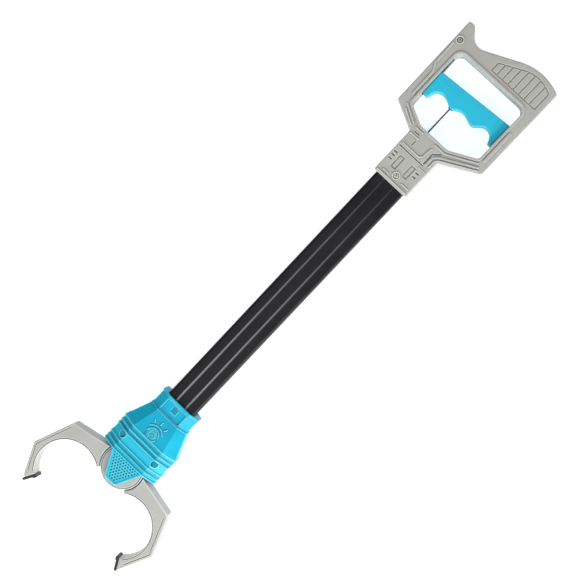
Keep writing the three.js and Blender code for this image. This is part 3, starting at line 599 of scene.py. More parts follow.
def addCamera(view):
    azimuth, elevation = radians(view["azimuth"]), radians(view["elevation"])
    target = Vector(view["target"]) + Vector((0, 0, middleZ))
    back = Vector((cos(elevation) * cos(azimuth), cos(elevation) * sin(azimuth),
                   sin(elevation)))
    level = (-back).cross(Vector((0, 0, 1))).normalized()
    upright = level.cross(-back)
    roll = radians(view["roll"])
    right = level * cos(roll) + upright * sin(roll)
    up = back.cross(right)
    data = bpy.data.cameras.new("camera")
    data.lens = view["focalLength"]
    data.sensor_width = 36.0
    data.clip_end = 20.0
    camera = link("camera", data)
    turn = Matrix((right, up, back)).transposed()
    camera.matrix_world = Matrix.Translation((target + back * view["distance"]) * mm) @ turn.to_4x4()
    bpy.context.scene.camera = camera


lights = [
    {"name": "keyLight", "from": (0.5, 1.45, 0.9), "size": 0.8, "power": 27.8},
    {"name": "topLight", "from": (0.5, -0.2, 2.0), "size": 1.2, "power": 8.0},
    {"name": "endLight", "from": (1.5, 0.1, 0.5), "size": 0.7, "power": 10.0},
]
studio = {
    "surround": 0.42, "floorGlow": 0.62, "floorDark": (0.9, 0.9, 0.895), "floorPale": (0.93, 0.93, 0.925),
    "floorHalf": 3000, "floorThick": 20,
}


def addLights():
    for light in lights:
        data = bpy.data.lights.new(light["name"], "AREA")
        data.shape = "SQUARE"
        data.size = light["size"]
        data.energy = light["power"]
        lamp = link(light["name"], data)
        lamp.location = light["from"]
        lamp.rotation_euler = Vector(light["from"]).to_track_quat("Z", "Y").to_euler()
    world = bpy.data.worlds.new("studio")
    world.use_nodes = True
    glow = {"Color": (1, 1, 1, 1), "Strength": studio["surround"]}
    feed(world.node_tree, world.node_tree.nodes["Background"], glow)
    bpy.context.scene.world = world
    bpy.context.scene.view_settings.view_transform = "Standard"


def addFloor():
    mesh = bmesh.new()
    wide = studio["floorHalf"]
    block(mesh, (-wide, -wide, -studio["floorThick"]), (wide, wide, 0))
    floor = toObject("floor", mesh)
    material, tree, shader, where = newMaterial("paleFloor")
    tint = blend(tree, noise(tree, where, 3.0, 2.0), studio["floorDark"], studio["floorPale"])
    feed(tree, shader, {
        "Base Color": tint, "Roughness": 0.8,
        "Emission Color": (1, 1, 1, 1), "Emission Strength": studio["floorGlow"],
    })
    floor.data.materials.append(material)


addCamera(cameraView)
addLights()
addFloor()
print("camera, light and floor set")


# handle
handle = {
    "half": 13.0, "edge": 1.3, "neckHalf": 19.0, "neckLength": 46.0,
    "openingFront": 55.7, "openingLength": 71.0, "openingRight": 34.3, "openingLeft": 43.0,
    "railRight": 12.0, "railLeft": 11.5, "waist": 10.0, "palm": 37.0, "horn": 24.6,
    "lipWidth": 2.4, "lipHeight": 0.8, "line": 0.8,
    "panelDepth": 0.65, "panelInset": 5.4, "panelStart": -3.0, "panelRim": 4.5, "palmSlope": 8.5,
    "bands": 9, "bandPitch": 6.4, "bandGap": 1.1,
    "screwHole": 2.9, "screwFloor": 9.6, "tubeScrewFloor": 10.9,
    "ringWidth": 0.9, "neckRingWidth": 0.8, "ringHeight": 0.7, "markGap": 0.4,
    "tubeHalf": (16.3, 10.3), "tubeDepth": 31.8, "rodChannel": 1.3,
    "slotHalf": 9.3, "slotDeep": 5.0, "slotSlack": 0.8, "slotOverlap": 4, "slotLean": (5, 4.2),
}
openingRear = handle["openingFront"] + handle["openingLength"]
outerRight = handle["openingRight"] + handle["railRight"]
outerLeft = handle["openingLeft"] + handle["railLeft"]


def handleOutline():
    front, neck, half = handle["openingFront"], handle["neckLength"], handle["neckHalf"]
    palm = -openingRear - handle["palm"]
    return roundLoop([
        (0, -half, 2), (-neck, -half, 2), (-front - 3.3, -outerRight, 3),
        (-openingRear - handle["horn"], -outerRight, 2.4),
        (-openingRear - handle["horn"], -outerRight + 6.3, 2.8),
        (-openingRear - handle["waist"], -handle["openingRight"] + 6.8, 12),
        (palm, handle["openingLeft"] - 12, 52), (palm + handle["palmSlope"], outerLeft, 3),
        (-front - 4.5, outerLeft, 3), (-neck + 5, half, 2), (0, half, 2),
    ], 10)


def openingOutline():
    front, right, left = handle["openingFront"], handle["openingRight"], handle["openingLeft"]
    return roundLoop([
        (-front, -14.5, 5), (-front - 9.5, -right, 3), (-openingRear, -right, 7),
        (-openingRear - 0.5, left, 7), (-front - 13, left, 4), (-front, 17.5, 6),
    ], 8)


def gripMark():
    # a sunk panel filled with raised finger bands
    inner = -openingRear - handle["panelInset"]
    palm = -openingRear - handle["palm"] + handle["panelRim"]
    top = outerLeft - handle["panelRim"] - 1
    start = handle["panelStart"]
    panel = roundLoop([
        (inner, start, 1), (inner, top, 1), (palm + handle["palmSlope"], top, 3),
        (palm + 1.2, handle["openingLeft"] - 12, 30), (inner - 9, start, 2),
    ], 8)
    field = offset(panel, 0.95)
    bands = []
    for i in range(handle["bands"]):
        low = start + handle["bandPitch"] * i + handle["bandGap"] / 2
        high = low + handle["bandPitch"] - handle["bandGap"]
        piece = clipBand(field, low, min(high, top - 1))
        if len(piece) > 2 and abs(signedArea(piece)) > 8:
            bands.append({"loop": piece, "height": 0.6, "foot": 0.15, "top": 0.3})
    return {"loop": panel, "height": -handle["panelDepth"], "inside": bands}


def handleLines():
    # raised ribs and pressed grooves on a broad face
    line = handle["line"]
    right, left = handle["openingRight"], handle["openingLeft"]
    raised = [
        ([(-128, -43.6), (-104.5, -43.4), (-97.5, -39.4), (-70.5, -39.2)], 1.9),
        ([(-103.5, left + 5.2), (-69.5, left + 5.2)], 2.8),
        ([(-51.3, 6.0), (-51.4, 18.1), (-65.6, 46.2)], 1.5),
        ([(-32.6, 12.9), (-41.6, 12.9), (-46.2, 17.6), (-62.9, 48.9)], 1.8),
        ([(-33, 16.1), (-40.9, 16.1), (-43.3, 18.3), (-60.4, 50.2)], 1.4),
        ([(-51.7, -17.2), (-51.7, -7.4)], 1.4), ([(-45.2, -17.4), (-45.2, -7.8)], 1.4),
        ([(-34.2, -15.8), (-34.2, 3.2), (-36.7, 6.1), (-42.2, 6.2), (-47.4, 7.2)], 1.4),
        ([(-5.4, -13.4), (-5.4, -5.8)], 1.3), ([(-6.4, 8.0), (-6.4, 16.4)], 1.3),
        ([(-2.3, -16.9), (-2.3, 16.9)], 1.3), ([(-27.4, 9.4), (-27.4, 16.9)], 1.0),
        ([(-52.9, -20.7), (-62.1, -37.4)], 1.4), ([(-50.3, -21.8), (-58.0, -35.4)], 1.3),
    ]
    pressed = [
        ([(-31.0, -17.2), (-31.0, 11.2)], 1.2), ([(-32.4, 10.4), (-43.9, 10.4), (-49.4, 16.6)], 1.3),
        ([(-48.5, -15.6), (-48.5, -9.4)], 1.1), ([(-37.5, -8.6), (-43.0, -8.6)], 0.9),
    ]
    for x in (-24.2, -20.7, -16.7):
        pressed.append(([(x, -17.0), (x, -13.2)], 1.5))
    for x in (-22.5, -18.2):
        pressed.append(([(x, 10.6), (x, 14.4)], 1.5))
    marks = [{"loop": ribbon(path, width), "height": line, "foot": 0.2} for path, width in raised]
    marks += [{"loop": ribbon(path, width, 0.4), "height": -1.0, "foot": 0.15} for path, width in pressed]
    for low, high in ((-10.4, -4.6), (3.4, 8.8)):
        inset = {"loop": rectangle(-24.0, -12.8, low + 1.2, high - 1.2, 0.8), "height": 0.45}
        marks.append({"loop": rectangle(-25.3, -11.5, low, high, 1.4), "height": -0.9, "inside": [inset]})
    return marks


def screwMark(x, y, floor, ring):
    depth = floor - handle["half"]
    hole = {"loop": circle(x, y, handle["screwHole"]), "height": depth, "foot": 0.25, "top": 0.2}
    if ring == 0:
        return hole
    hole["height"] = depth - handle["ringHeight"]
    return {"loop": circle(x, y, handle["screwHole"] + ring, 40), "height": handle["ringHeight"],
            "foot": 0.15, "top": 0.15, "inside": [hole]}


def screwCentre(node):
    low, high = boxOf(node)
    return (low + high) / 2


def clearOf(loop, x, y, reach):
    # whether an outline stays this far from a point
    point = Vector((x, y))
    for a, b in zip(loop, loop[1:] + loop[:1]):
        start, run = Vector(a), Vector(b) - Vector(a)
        share = min(max((point - start).dot(run) / max(run.length_squared, 1e-9), 0), 1)
        if (start + run * share - point).length < reach:
            return False
    return True


def buildHandleHalf(name, facing, screws):
    opening = {"loop": openingOutline(), "through": halfGap, "foot": 0.5}
    lip = {"loop": offset(openingOutline(), -handle["lipWidth"]), "height": handle["lipHeight"],
           "foot": 0.35, "top": 0.45, "inside": [opening]}
    marks = handleLines()
    for node, floor, ring in screws:
        centre = screwCentre(node) - neckPlace
        reach = handle["screwHole"] + ring + handle["markGap"]
        marks = [mark for mark in marks if clearOf(mark["loop"], centre.x, centre.y, reach)]
        marks.append(screwMark(centre.x, centre.y, floor, ring))
    marks += [lip, gripMark()]
    mesh = bmesh.new()
    slab(mesh, handleOutline(), halfGap, handle["half"], handle["edge"], 0.3, marks)
    mirrored(mesh, facing)
    half = toObject(name, mesh, neckPlace)

    wide, deep = handle["tubeHalf"]
    cutter = bmesh.new()
    block(cutter, (-handle["tubeDepth"], -wide, -deep), (3, wide, deep))
    triggerLow, triggerHigh = (corner - neckPlace for corner in boxOf("trigger"))
    slack, over, thick, reach = (handle[key] for key in ("slotSlack", "slotOverlap", "slotHalf", "slotDeep"))
    back, front = triggerLow.x - (slide["range_m"][1] / mm + slack), triggerHigh.x
    right, left = handle["openingRight"], handle["openingLeft"]
    leanBack, leanFront = handle["slotLean"]
    block(cutter, (back, left - over, -thick), (front - leanFront, left + reach, thick))
    block(cutter, (back + leanBack, -right - reach, -thick), (front + slack, -right + over, thick))
    combine(half, toObject("cutter", cutter, neckPlace), "DIFFERENCE")
    rodPlace = screwCentre("rod_ferrule") - neckPlace
    channel = bmesh.new()
    ends = [(x, rodPlace.y, 0) for x in (-handle["openingFront"] - 3, -handle["tubeDepth"] + 2)]
    sweep(channel, ends, handle["rodChannel"], 20)
    combine(half, toObject("channel", channel, neckPlace), "DIFFERENCE")
    return smooth(half)


frontScrews = [("handle_screw_1", handle["screwFloor"], handle["ringWidth"]),
               ("neck_tube_screw", handle["tubeScrewFloor"], handle["neckRingWidth"])]
backScrews = [(f"handle_screw_{i}", handle["screwFloor"], 0) for i in range(2, 6)]
handleFront = buildHandleHalf("handleFrontShell", 1, frontScrews)
dress(handleFront, greyPlastic, "grey_plastic", "frame", "handle_front_shell")
handleBack = buildHandleHalf("handleBackShell", -1, backScrews)
dress(handleBack, greyPlastic, "grey_plastic", "frame", "handle_back_shell")
print("handle halves built")


# trigger, ferrule and rod
trigger = {"half": 9.0, "edge": 1.1, "length": 24.5, "skew": 0.07}


def buildTrigger():
    low, high = (corner - neckPlace for corner in boxOf("trigger"))
    right, left = handle["openingRight"], handle["openingLeft"]
    lean = trigger["skew"]
    backAtRail = low.x + lean * (high.y + right)

    def back(y):
        return backAtRail - lean * (y + right)

    full = trigger["length"]
    # the finger scallops, as places across the tool and the depth there
    knots = [
        (left - 1.6, 24.2), (39.4, 24.0), (38.3, 22.6), (37.2, 19.8), (35, 16.6), (32, 14.8), (29, 14.2),
        (26, 15), (22, 17.8), (20, 19.6), (18, 20.2), (14, 19.5), (10, 17.7), (6, 16.5), (2, 16.6),
        (-2, 18.2), (-5, 20), (-6.8, 20.3), (-10, 18.6), (-14, 16.3), (-18, 14.8), (-22, 15),
        (-25, 16.6), (-27.2, 19.6), (-28.1, 23), (-29.4, 24.9), (-31, 25.2), (-33, full),
    ]
    curve = []
    for i in range(len(knots) - 1):
        p0, p1, p2, p3 = (Vector(knots[min(max(k, 0), len(knots) - 1)]) for k in (i - 1, i, i + 1, i + 2))
        for k in range(4):
            t = k / 4
            y, depth = 0.5 * ((2 * p1) + (p2 - p0) * t + (2 * p0 - 5 * p1 + 4 * p2 - p3) * t * t
                              + (3 * p1 - p0 - 3 * p2 + p3) * t ** 3)
            curve.append((back(y) + depth, y))
    ends = [(back(low.y) + full, low.y), (back(low.y), low.y),
            (back(high.y), high.y), (back(high.y) + full, high.y)]
    last = (back(knots[-1][0]) + full, knots[-1][0])
    loop = anticlockwise(curve + [last] + ends)
    mesh = bmesh.new()
    slab(mesh, loop, -trigger["half"], trigger["half"], trigger["edge"], trigger["edge"])
    return smooth(toObject("fingerTrigger", mesh, neckPlace), 40)


def buildFerrule():
    low, high = boxOf("rod_ferrule")
    centre = (low + high) / 2
    radius, bore, half = (high.y - low.y) / 2, 0.85, (high.x - low.x) / 2
    profile = [(bore, -half), (radius - 0.4, -half), (radius, -half + 0.4), (radius, half - 1.6),
               (radius - 0.25, half - 1.35), (radius - 0.25, half - 1.0), (radius, half - 0.75),
               (radius, half - 0.4), (radius - 0.4, half), (bore, half)]
    mesh = bmesh.new()
    lathe(mesh, profile, 36, closed=True)
    return smooth(toObject("rodFerrule", mesh, centre, Matrix.Rotation(pi / 2, 3, "Y")))


rod = {"bendStart": 40, "bendLength": 50.0, "steps": 40, "sides": 24}


def buildRod():
    # it leaves the ferrule off the tool's centre line and bends to it inside the tube
    low, high = boxOf("pull_rod")
    ferrule = screwCentre("rod_ferrule")
    radius = (high.z - low.z) / 2
    bendStart, bendLength, count = neckFaceX + rod["bendStart"], rod["bendLength"], rod["steps"]
    path = [(low.x, ferrule.y, middleZ)]
    for i in range(count + 1):
        t = i / count
        share = t ** 3 * (t * (6 * t - 15) + 10)
        path.append((bendStart + bendLength * t, ferrule.y * (1 - share), middleZ))
    path.append((high.x, 0, middleZ))
    mesh = bmesh.new()
    sweep(mesh, path, radius, rod["sides"])
    return smooth(toObject("pullRod", mesh))


dress(buildTrigger(), triggerPlastic, "trigger_plastic", "trigger_and_rod", "trigger")
dress(buildFerrule(), dullSteel, "steel", "trigger_and_rod", "rod_ferrule")
dress(buildRod(), dullSteel, "steel", "trigger_and_rod", "pull_rod")
print("trigger and rod built")


# tube: one section raised along X
tube = {
    "wall": 1.6, "corner": 3.0, "grooveGap": 11.4, "grooveWidth": 1.6, "grooveDepth": 0.7,
    "grooveEdge": 0.28, "grooveFloor": 0.8,   # floor's share of the width
}


def buildTube():
    low, high = boxOf("shaft_tube")
    wide, deep = (high.y - low.y) / 2, (high.z - low.z) / 2
    half, edge = tube["grooveWidth"] / 2, tube["grooveEdge"]
    corners = []
    for side in (1, -1):
        places = [side * tube["grooveGap"] / 2, -side * tube["grooveGap"] / 2]
        corners.append((side * wide, side * deep, tube["corner"]))
        for y in places:
            face, floor = side * deep, side * (deep - tube["grooveDepth"])
            inner = side * half * tube["grooveFloor"]
            corners += [(y + side * half, face, edge), (y + inner, floor, edge)]
            corners += [(y - inner, floor, edge), (y - side * half, face, edge)]
        corners.append((-side * wide, side * deep, tube["corner"]))
    outer = roundLoop(corners, 6)
    wall = tube["wall"]
    inner = rectangle(-wide + wall, wide - wall, -deep + wall, deep - wall, tube["corner"] - wall)
    length = high.x - low.x
    mesh = bmesh.new()
    slab(mesh, outer, 0, length, 0.2, 0.2, [{"loop": inner, "through": 0, "foot": 0.2}], 2)
    turn = Matrix(((0, 0, 1), (1, 0, 0), (0, 1, 0)))
    return smooth(toObject("shaftTube", mesh, (low.x, 0, middleZ), turn))


dress(buildTube(), blackTube, "black_tube", "frame", "shaft_tube")
print("tube built")


# what repeats is laid out by Geometry Nodes: screws, and the pits of the nose plates
def newTree(name, sizes):
    tree = bpy.data.node_groups.new(name, "GeometryNodeTree")
    tree.interface.new_socket("Geometry", in_out="INPUT", socket_type="NodeSocketGeometry")
    for label, kind in sizes:
        tree.interface.new_socket(label, in_out="INPUT", socket_type=kind)
    tree.interface.new_socket("Geometry", in_out="OUTPUT", socket_type="NodeSocketGeometry")
    return tree, tree.nodes.new("NodeGroupInput"), tree.nodes.new("NodeGroupOutput")


def useTree(piece, tree, values):
    # sizes are set by socket identifier before the first evaluation
    modifier = piece.modifiers.new(tree.name, "NODES")
    modifier.node_group = tree
    for item in tree.interface.items_tree:
        if item.item_type == "SOCKET" and item.in_out == "INPUT" and item.name in values:
            modifier[item.identifier] = values[item.name]
    bpy.context.view_layer.update()
    plain(piece)


def patternTree(name):
    # one pattern on every point, turned by the point's stored turn
    tree, start, end = newTree(name, [("Pattern", "NodeSocketObject"), ("Material", "NodeSocketMaterial")])
    pattern = addNode(tree, "GeometryNodeObjectInfo", {"Object": start.outputs["Pattern"]})
    turn = addNode(tree, "GeometryNodeInputNamedAttribute", {"Name": "turn"}, data_type="FLOAT_VECTOR")
    placed = addNode(tree, "GeometryNodeInstanceOnPoints", {
        "Points": start.outputs["Geometry"], "Instance": pattern.outputs["Geometry"],
        "Rotation": turn.outputs["Attribute"],
    })
    real = addNode(tree, "GeometryNodeRealizeInstances", {"Geometry": placed.outputs["Instances"]})
    named = addNode(tree, "GeometryNodeSetMaterial", {
        "Geometry": real.outputs["Geometry"], "Material": start.outputs["Material"],
    })
    tree.links.new(named.outputs["Geometry"], end.inputs["Geometry"])
    return tree


def scatter(name, points, turns, pattern, material):
    # a pattern at every point, as one plain mesh
    data = bpy.data.meshes.new(name)
    data.from_pydata([Vector(p) * mm for p in points], [], [])
    stored = data.attributes.new("turn", "FLOAT_VECTOR", "POINT")
    for i, turn in enumerate(turns):
        stored.data[i].vector = turn
    piece = link(name, data)
    useTree(piece, patternTree(name + "Tree"), {"Pattern": pattern, "Material": material})
    bpy.data.objects.remove(pattern)
    return piece


# head: rings of an eight-sided section with rounded corners, one half at a time
head = {
    # sections: top half-width, height, side, side height
    "collar": (12.5, 13.6, 21.5, 6.5), "belt": (18.5, 17.0, 31.5, 8.5),
    "collarEnd": 16.5, "flareEnd": 42.5, "length": 73.3, "wall": 2.4, "cornerRadius": 1.6,
    "ridges": (16.5, 42.5, 47.8, 52.5, 62.4, 67.6, 71.4), "ridgeWidth": 1.8, "ridgeHeight": 0.9,
    "grooves": ((44.7, 47.4), (50.0, 52.1), (64.6, 67.2)), "grooveDepth": 0.8,
    "rearLip": 2.4, "mouth": (29.1, 9.8), "bore": (16.3, 10.3), "boreEnd": 12.3,
    "panel": (3.3, 15.8, 11.6), "panelDepth": 0.8, "chamferShare": 0.42,
    "window": (3.4, 3.1), "windowCorner": 1.1, "screwHole": 3.4, "screwClear": 2.0,
}


def headSection(x, grow):
    share = min(max((x - head["collarEnd"]) / (head["flareEnd"] - head["collarEnd"]), 0), 1)
    top, high, side, low = (a + (b - a) * share for a, b in zip(head["collar"], head["belt"]))
    shift = grow * head["chamferShare"]
    return top + shift, high + grow, side + grow, low + shift


def sectionPoints(top, high, side, low, radius):
    # half of the section, from one parting edge over the top to the other
    corners = [(side, -40, 0), (side, low, radius), (top, high, radius), (-top, high, radius),
               (-side, low, radius), (-side, -40, 0)]
    points = roundLoop(corners, 5)
    points = sorted((p for p in points if p[1] > -30), key=lambda p: atan2(p[1], p[0]))
    return [(side, halfGap)] + points + [(-side, halfGap)]


def headStations():
    # (x, grow) along the outside, with rounded ridges and shallow grooves
    high, width = head["ridgeHeight"], head["ridgeWidth"]
    shape = ((0, 0), (0.12, 0.5), (0.4, 0.9), (0.8, 1.0), (1.2, 1.0), (1.6, 0.9), (1.88, 0.5), (2.0, 0))
    stations = [(0, high - 0.5), (0.15, high - 0.15), (0.5, high), (head["rearLip"] - 0.5, high),
                (head["rearLip"] - 0.1, high * 0.6), (head["rearLip"], 0)]
    for x in head["ridges"]:
        stations += [(x + width * s / 2, high * h) for s, h in shape]
    for start, end in head["grooves"]:
        deep = -head["grooveDepth"]
        stations += [(start, 0), (start + 0.2, deep * 0.7), (start + 0.5, deep), (end - 0.5, deep),
                     (end - 0.2, deep * 0.7), (end, 0)]
    stations = sorted(s for s in stations if s[0] < head["length"] - 0.3)
    return stations + [(head["length"] - 0.15, 0.4), (head["length"], 0.1)]


def headHalf(name, facing):
    radius, wall, length = head["cornerRadius"], head["wall"], head["length"]
    rings = [(x, sectionPoints(*headSection(x, grow), radius)) for x, grow in headStations()]
    mouthWide, mouthHigh = head["mouth"]
    mouth = sectionPoints(mouthWide - 1.2, mouthHigh, mouthWide, mouthHigh - 1.2, 0.8)
    rings += [(length, mouth), (length - wall, mouth)]
    for x in (length - wall, head["flareEnd"], head["collarEnd"], head["boreEnd"]):
        rings.append((x, sectionPoints(*headSection(x, -wall), 1.0)))
    boreWide, boreHigh = head["bore"]
    bore = sectionPoints(boreWide - 1, boreHigh, boreWide, boreHigh - 1, 0.8)
    rings += [(head["boreEnd"], bore), (0, bore)]
    mesh = bmesh.new()
    loops = [[mesh.verts.new((x, y, z)) for y, z in points] for x, points in rings]
    for first, second in zip(loops, loops[1:] + loops[:1]):
        band(mesh, first, second, closed=False)
    for end in (0, -1):
        fillFlat(mesh, [loop[end] for loop in loops])
    mirrored(mesh, facing)
    return toObject(name, mesh, headPlace)


nose = {
    "base": 39.0, "tip": 13.0, "reach": 16.5, "low": 9.75, "thick": 3.5,
    "borderWidth": 1.7, "fieldDepth": 0.5,
}


def noseOutline():
    tip = pivotX - headFaceX + nose["reach"]
    root = head["length"] - head["wall"]
    return roundLoop([
        (root, -nose["base"] / 2 - 1, 0), (tip, -nose["tip"] / 2, 4.5), (tip, nose["tip"] / 2, 4.5),
        (root, nose["base"] / 2 + 1, 0),
    ], 8)


def noseField():
    # the sunk knurled field inside the nose plate's border
    tip = pivotX - headFaceX + nose["reach"]
    start = head["length"] + 0.4
    edge = nose["borderWidth"]
    slope = (nose["base"] / 2 + 1 - nose["tip"] / 2) / (tip - head["length"] + head["wall"])
    baseHalf = nose["base"] / 2 + 1 - (start - head["length"] + head["wall"]) * slope - edge * 1.1
    tipHalf = nose["tip"] / 2 - edge * 0.4
    return [(start, -baseHalf, 0.6), (tip - edge, -tipHalf, 2.0),
            (tip - edge, tipHalf, 2.0), (start, baseHalf, 0.6)]


pits = {"pitch": 2.9, "rowShare": 0.88, "radius": 1.0, "deep": 0.85}


def pitCutter(facing):
    # staggered pits that fill the field, to be cut from the plate
    corners = noseField()
    (x0, y0), (x1, y1) = corners[0][:2], corners[1][:2]
    surface = nose["low"] + nose["thick"] - nose["fieldDepth"]
    rowPitch = pits["pitch"] * pits["rowShare"]
    points, turns = [], []
    for i in range(int((x1 - x0) / rowPitch)):
        x = x0 + pits["radius"] + 0.5 + i * rowPitch
        half = -(y0 + (y1 - y0) * (x - x0) / (x1 - x0)) - pits["radius"] - 0.2
        count = int(half / pits["pitch"] + 1)
        for k in range(-count - 1, count + 2):
            y = (k + 0.5 * (i % 2)) * pits["pitch"]
            if abs(y) <= half:
                points.append(headPlace + Vector((x, y, surface * facing)))
                turns.append((0 if facing > 0 else pi, 0, 0))
    radius, deep = pits["radius"], pits["deep"]
    mesh = bmesh.new()
    profile = [(0, -deep), (radius * 0.6, -deep * 0.9), (radius * 0.9, -deep * 0.4), (radius, 0.05),
               (radius, 0.5), (0, 0.5)]
    lathe(mesh, profile, 12)
    return scatter("pitCutter", points, turns, toObject("pit", mesh), cyanPlastic)


def slopedPlace(x):
    # a place along the flare's front face, and the turn that lays a flat shape on it
    rise = (head["belt"][1] - head["collar"][1]) / (head["flareEnd"] - head["collarEnd"])
    z = head["collar"][1] + (x - head["collarEnd"]) * rise
    return headPlace + Vector((x, 0, z)), Matrix.Rotation(-atan(rise), 3, "Y")


def recessLoop(node, inset):
    # the collar's window, or a round recess, over a screw
    centre = screwCentre(node) - headPlace
    if node == "head_tube_screw":
        wide, tall = (size - inset for size in head["window"])
        corner = head["windowCorner"] - inset
        return rectangle(centre.x - wide, centre.x + wide, centre.y - tall, centre.y + tall, corner)
    return circle(centre.x, centre.y, head["screwHole"] - inset, 40)


def finishHeadHalf(piece, facing, screws):
    # the collar's panel, the nose plate with its pits, and the recesses over the screws
    start, end, half = head["panel"]
    high = head["collar"][1]
    panel = rectangle(start, end, -half, half, 1.2)
    floor = high - head["panelDepth"]
    slabTool(piece, "DIFFERENCE", panel, floor, high + 3, 0.1, 0.35, headPlace, None, facing)
    field = {"loop": roundLoop(noseField(), 6), "height": -nose["fieldDepth"], "foot": 0.25, "top": 0.2}
    top = nose["low"] + nose["thick"]
    slabTool(piece, "UNION", noseOutline(), nose["low"], top, 0.6, 0.4, headPlace, None, facing, [field])
    combine(piece, pitCutter(facing), "DIFFERENCE")
    for node in screws:
        floor = (boxOf(node)[1].z - middleZ) * facing - head["screwClear"]
        slabTool(piece, "DIFFERENCE", recessLoop(node, 0), floor, 22, 0.1, 0.3, headPlace, None, facing)


badge = {"x": 38.2, "radius": 3.8, "sunk": 1.2, "proud": 0.4, "gap": 0.3}


def buildHeadFront():
    piece = headHalf("headFrontShell", 1)
    finishHeadHalf(piece, 1, ["head_screw_1", "head_screw_2", "head_tube_screw"])
    seat = circle(0, 0, badge["radius"] + badge["gap"], 48)
    slabTool(piece, "DIFFERENCE", seat, -badge["sunk"], 4, 0.1, 0.2, *slopedPlace(badge["x"]))
    return smooth(piece, 28)


def buildHeadBack():
    piece = headHalf("headBackShell", -1)
    finishHeadHalf(piece, -1, [])
    return smooth(piece, 28)


dress(buildHeadFront(), cyanPlastic, "cyan_plastic", "frame", "head_front_shell")
dress(buildHeadBack(), cyanPlastic, "cyan_plastic", "frame", "head_back_shell")
print("head halves built")


# badge: a disc with a raised ring and a small dome, and plain raised arcs round it
def buildBadge():
    radius, proud, sunk = badge["radius"], badge["proud"], badge["sunk"] - badge["gap"]
    profile = [
        (0, -sunk), (radius, -sunk), (radius, proud - 0.3), (radius - 0.3, proud), (radius - 0.9, proud),
        (radius - 1.15, proud - 0.45), (1.7, proud - 0.5), (1.5, proud - 0.1), (0.9, proud), (0, proud),
    ]
    mesh = bmesh.new()
    lathe(mesh, profile, 48)
    return smooth(toObject("headBadge", mesh, *slopedPlace(badge["x"])))


emblem = {
    # each arc: radius, and its ends in degrees
    "arcs": ((6.6, 100, 260), (9.6, 125, 235), (6.2, 285, 335), (6.2, 25, 75)), "arcWidth": 1.2,
    "rays": (150, 180, 210), "rayReach": (11.6, 15.6), "rayWidth": 1.3, "sunk": 0.6, "proud": 0.7,
}


def buildEmblem():
    # a plain pattern of arcs and rays, pressed up from the flare
    loops = []
    for reach, start, end in emblem["arcs"]:
        path = arcPoints(0, 0, reach, radians(start), radians(end), 14)
        loops.append(ribbon(path, emblem["arcWidth"], 0.3))
    for angle in emblem["rays"]:
        ray = radians(angle)
        ends = [(r * cos(ray), r * sin(ray)) for r in emblem["rayReach"]]
        loops.append(ribbon(ends, emblem["rayWidth"], 0.4))
    mesh = bmesh.new()
    for loop in loops:
        slab(mesh, loop, -emblem["sunk"], emblem["proud"], 0.35, 0.1)
    return smooth(toObject("headEmblem", mesh, *slopedPlace(badge["x"])))


# the collar's screw is set down by the sink, under its plug
plug = {"gap": 0.1, "thick": 0.55, "edge": 0.15, "lift": 0.05, "sink": 0.6}


def buildPlugs():
    # flat plugs in the recesses, over the screws' heads, coloured darker as painted shade of the recesses
    mesh = bmesh.new()
    for node in ("head_screw_1", "head_screw_2", "head_tube_screw"):
        low = boxOf(node)[1].z - middleZ + plug["lift"]
        if node == "head_tube_screw":
            low -= plug["sink"]
        slab(mesh, recessLoop(node, plug["gap"]), low, low + plug["thick"], plug["edge"], plug["edge"])
    return smooth(toObject("headPlugs", mesh, headPlace))


# the plugs take the darker cyan, painted shade
dress(buildPlugs(), deepCyan, "cyan_plastic", "frame")
dress(buildBadge(), cyanPlastic, "cyan_plastic", "frame", "head_badge")
dress(buildEmblem(), cyanPlastic, "cyan_plastic", "frame")
print("badge built")


# jaws, pads and pivot caps, from the pivot
jaw = {
    "half": 8.2, "edge": 0.9, "lineInset": 1.5, "lineWidth": 0.8, "lineDepth": 0.6,
    "rootRadius": 22.3, "rootStart": 106, "rootEnd": 46,
    "hookRadius": 30.5, "hook": (42.5, 36.0), "hookEnd": 42, "cusp": (18.0, 17.6),
    "shoulder": (2.5, 62.0), "apex": (42.5, 77.5), "tip": (73.8, 63.5), "tipAngle": 29, "tipLength": 9.6,
    "hubRadius": 20.0, "hubHigh": 4.15, "bore": 3.3,
    "camRest": 9.5, "travel": 15.0, "closing": 37.5, "camSlot": 1.8, "camBand": 4.4,
}


def jawOutline():
    hookX, hookY = jaw["hook"]
    cuspX, cuspY = jaw["cusp"]
    root = arcPoints(0, 0, jaw["rootRadius"], radians(jaw["rootStart"]), radians(jaw["rootEnd"]), 16)
    cuspAngle = atan2(cuspY - hookY, cuspX - hookX)
    hook = arcPoints(hookX, hookY, jaw["hookRadius"], cuspAngle, radians(jaw["hookEnd"]) - 2 * pi, 64)
    tilt = radians(jaw["tipAngle"])
    innerX, innerY = hook[-1]
    tipFoot = (innerX + jaw["tipLength"] * cos(tilt), innerY + jaw["tipLength"] * sin(tilt))
    return anticlockwise(root + hook + [tipFoot, jaw["tip"], jaw["apex"], jaw["shoulder"]])


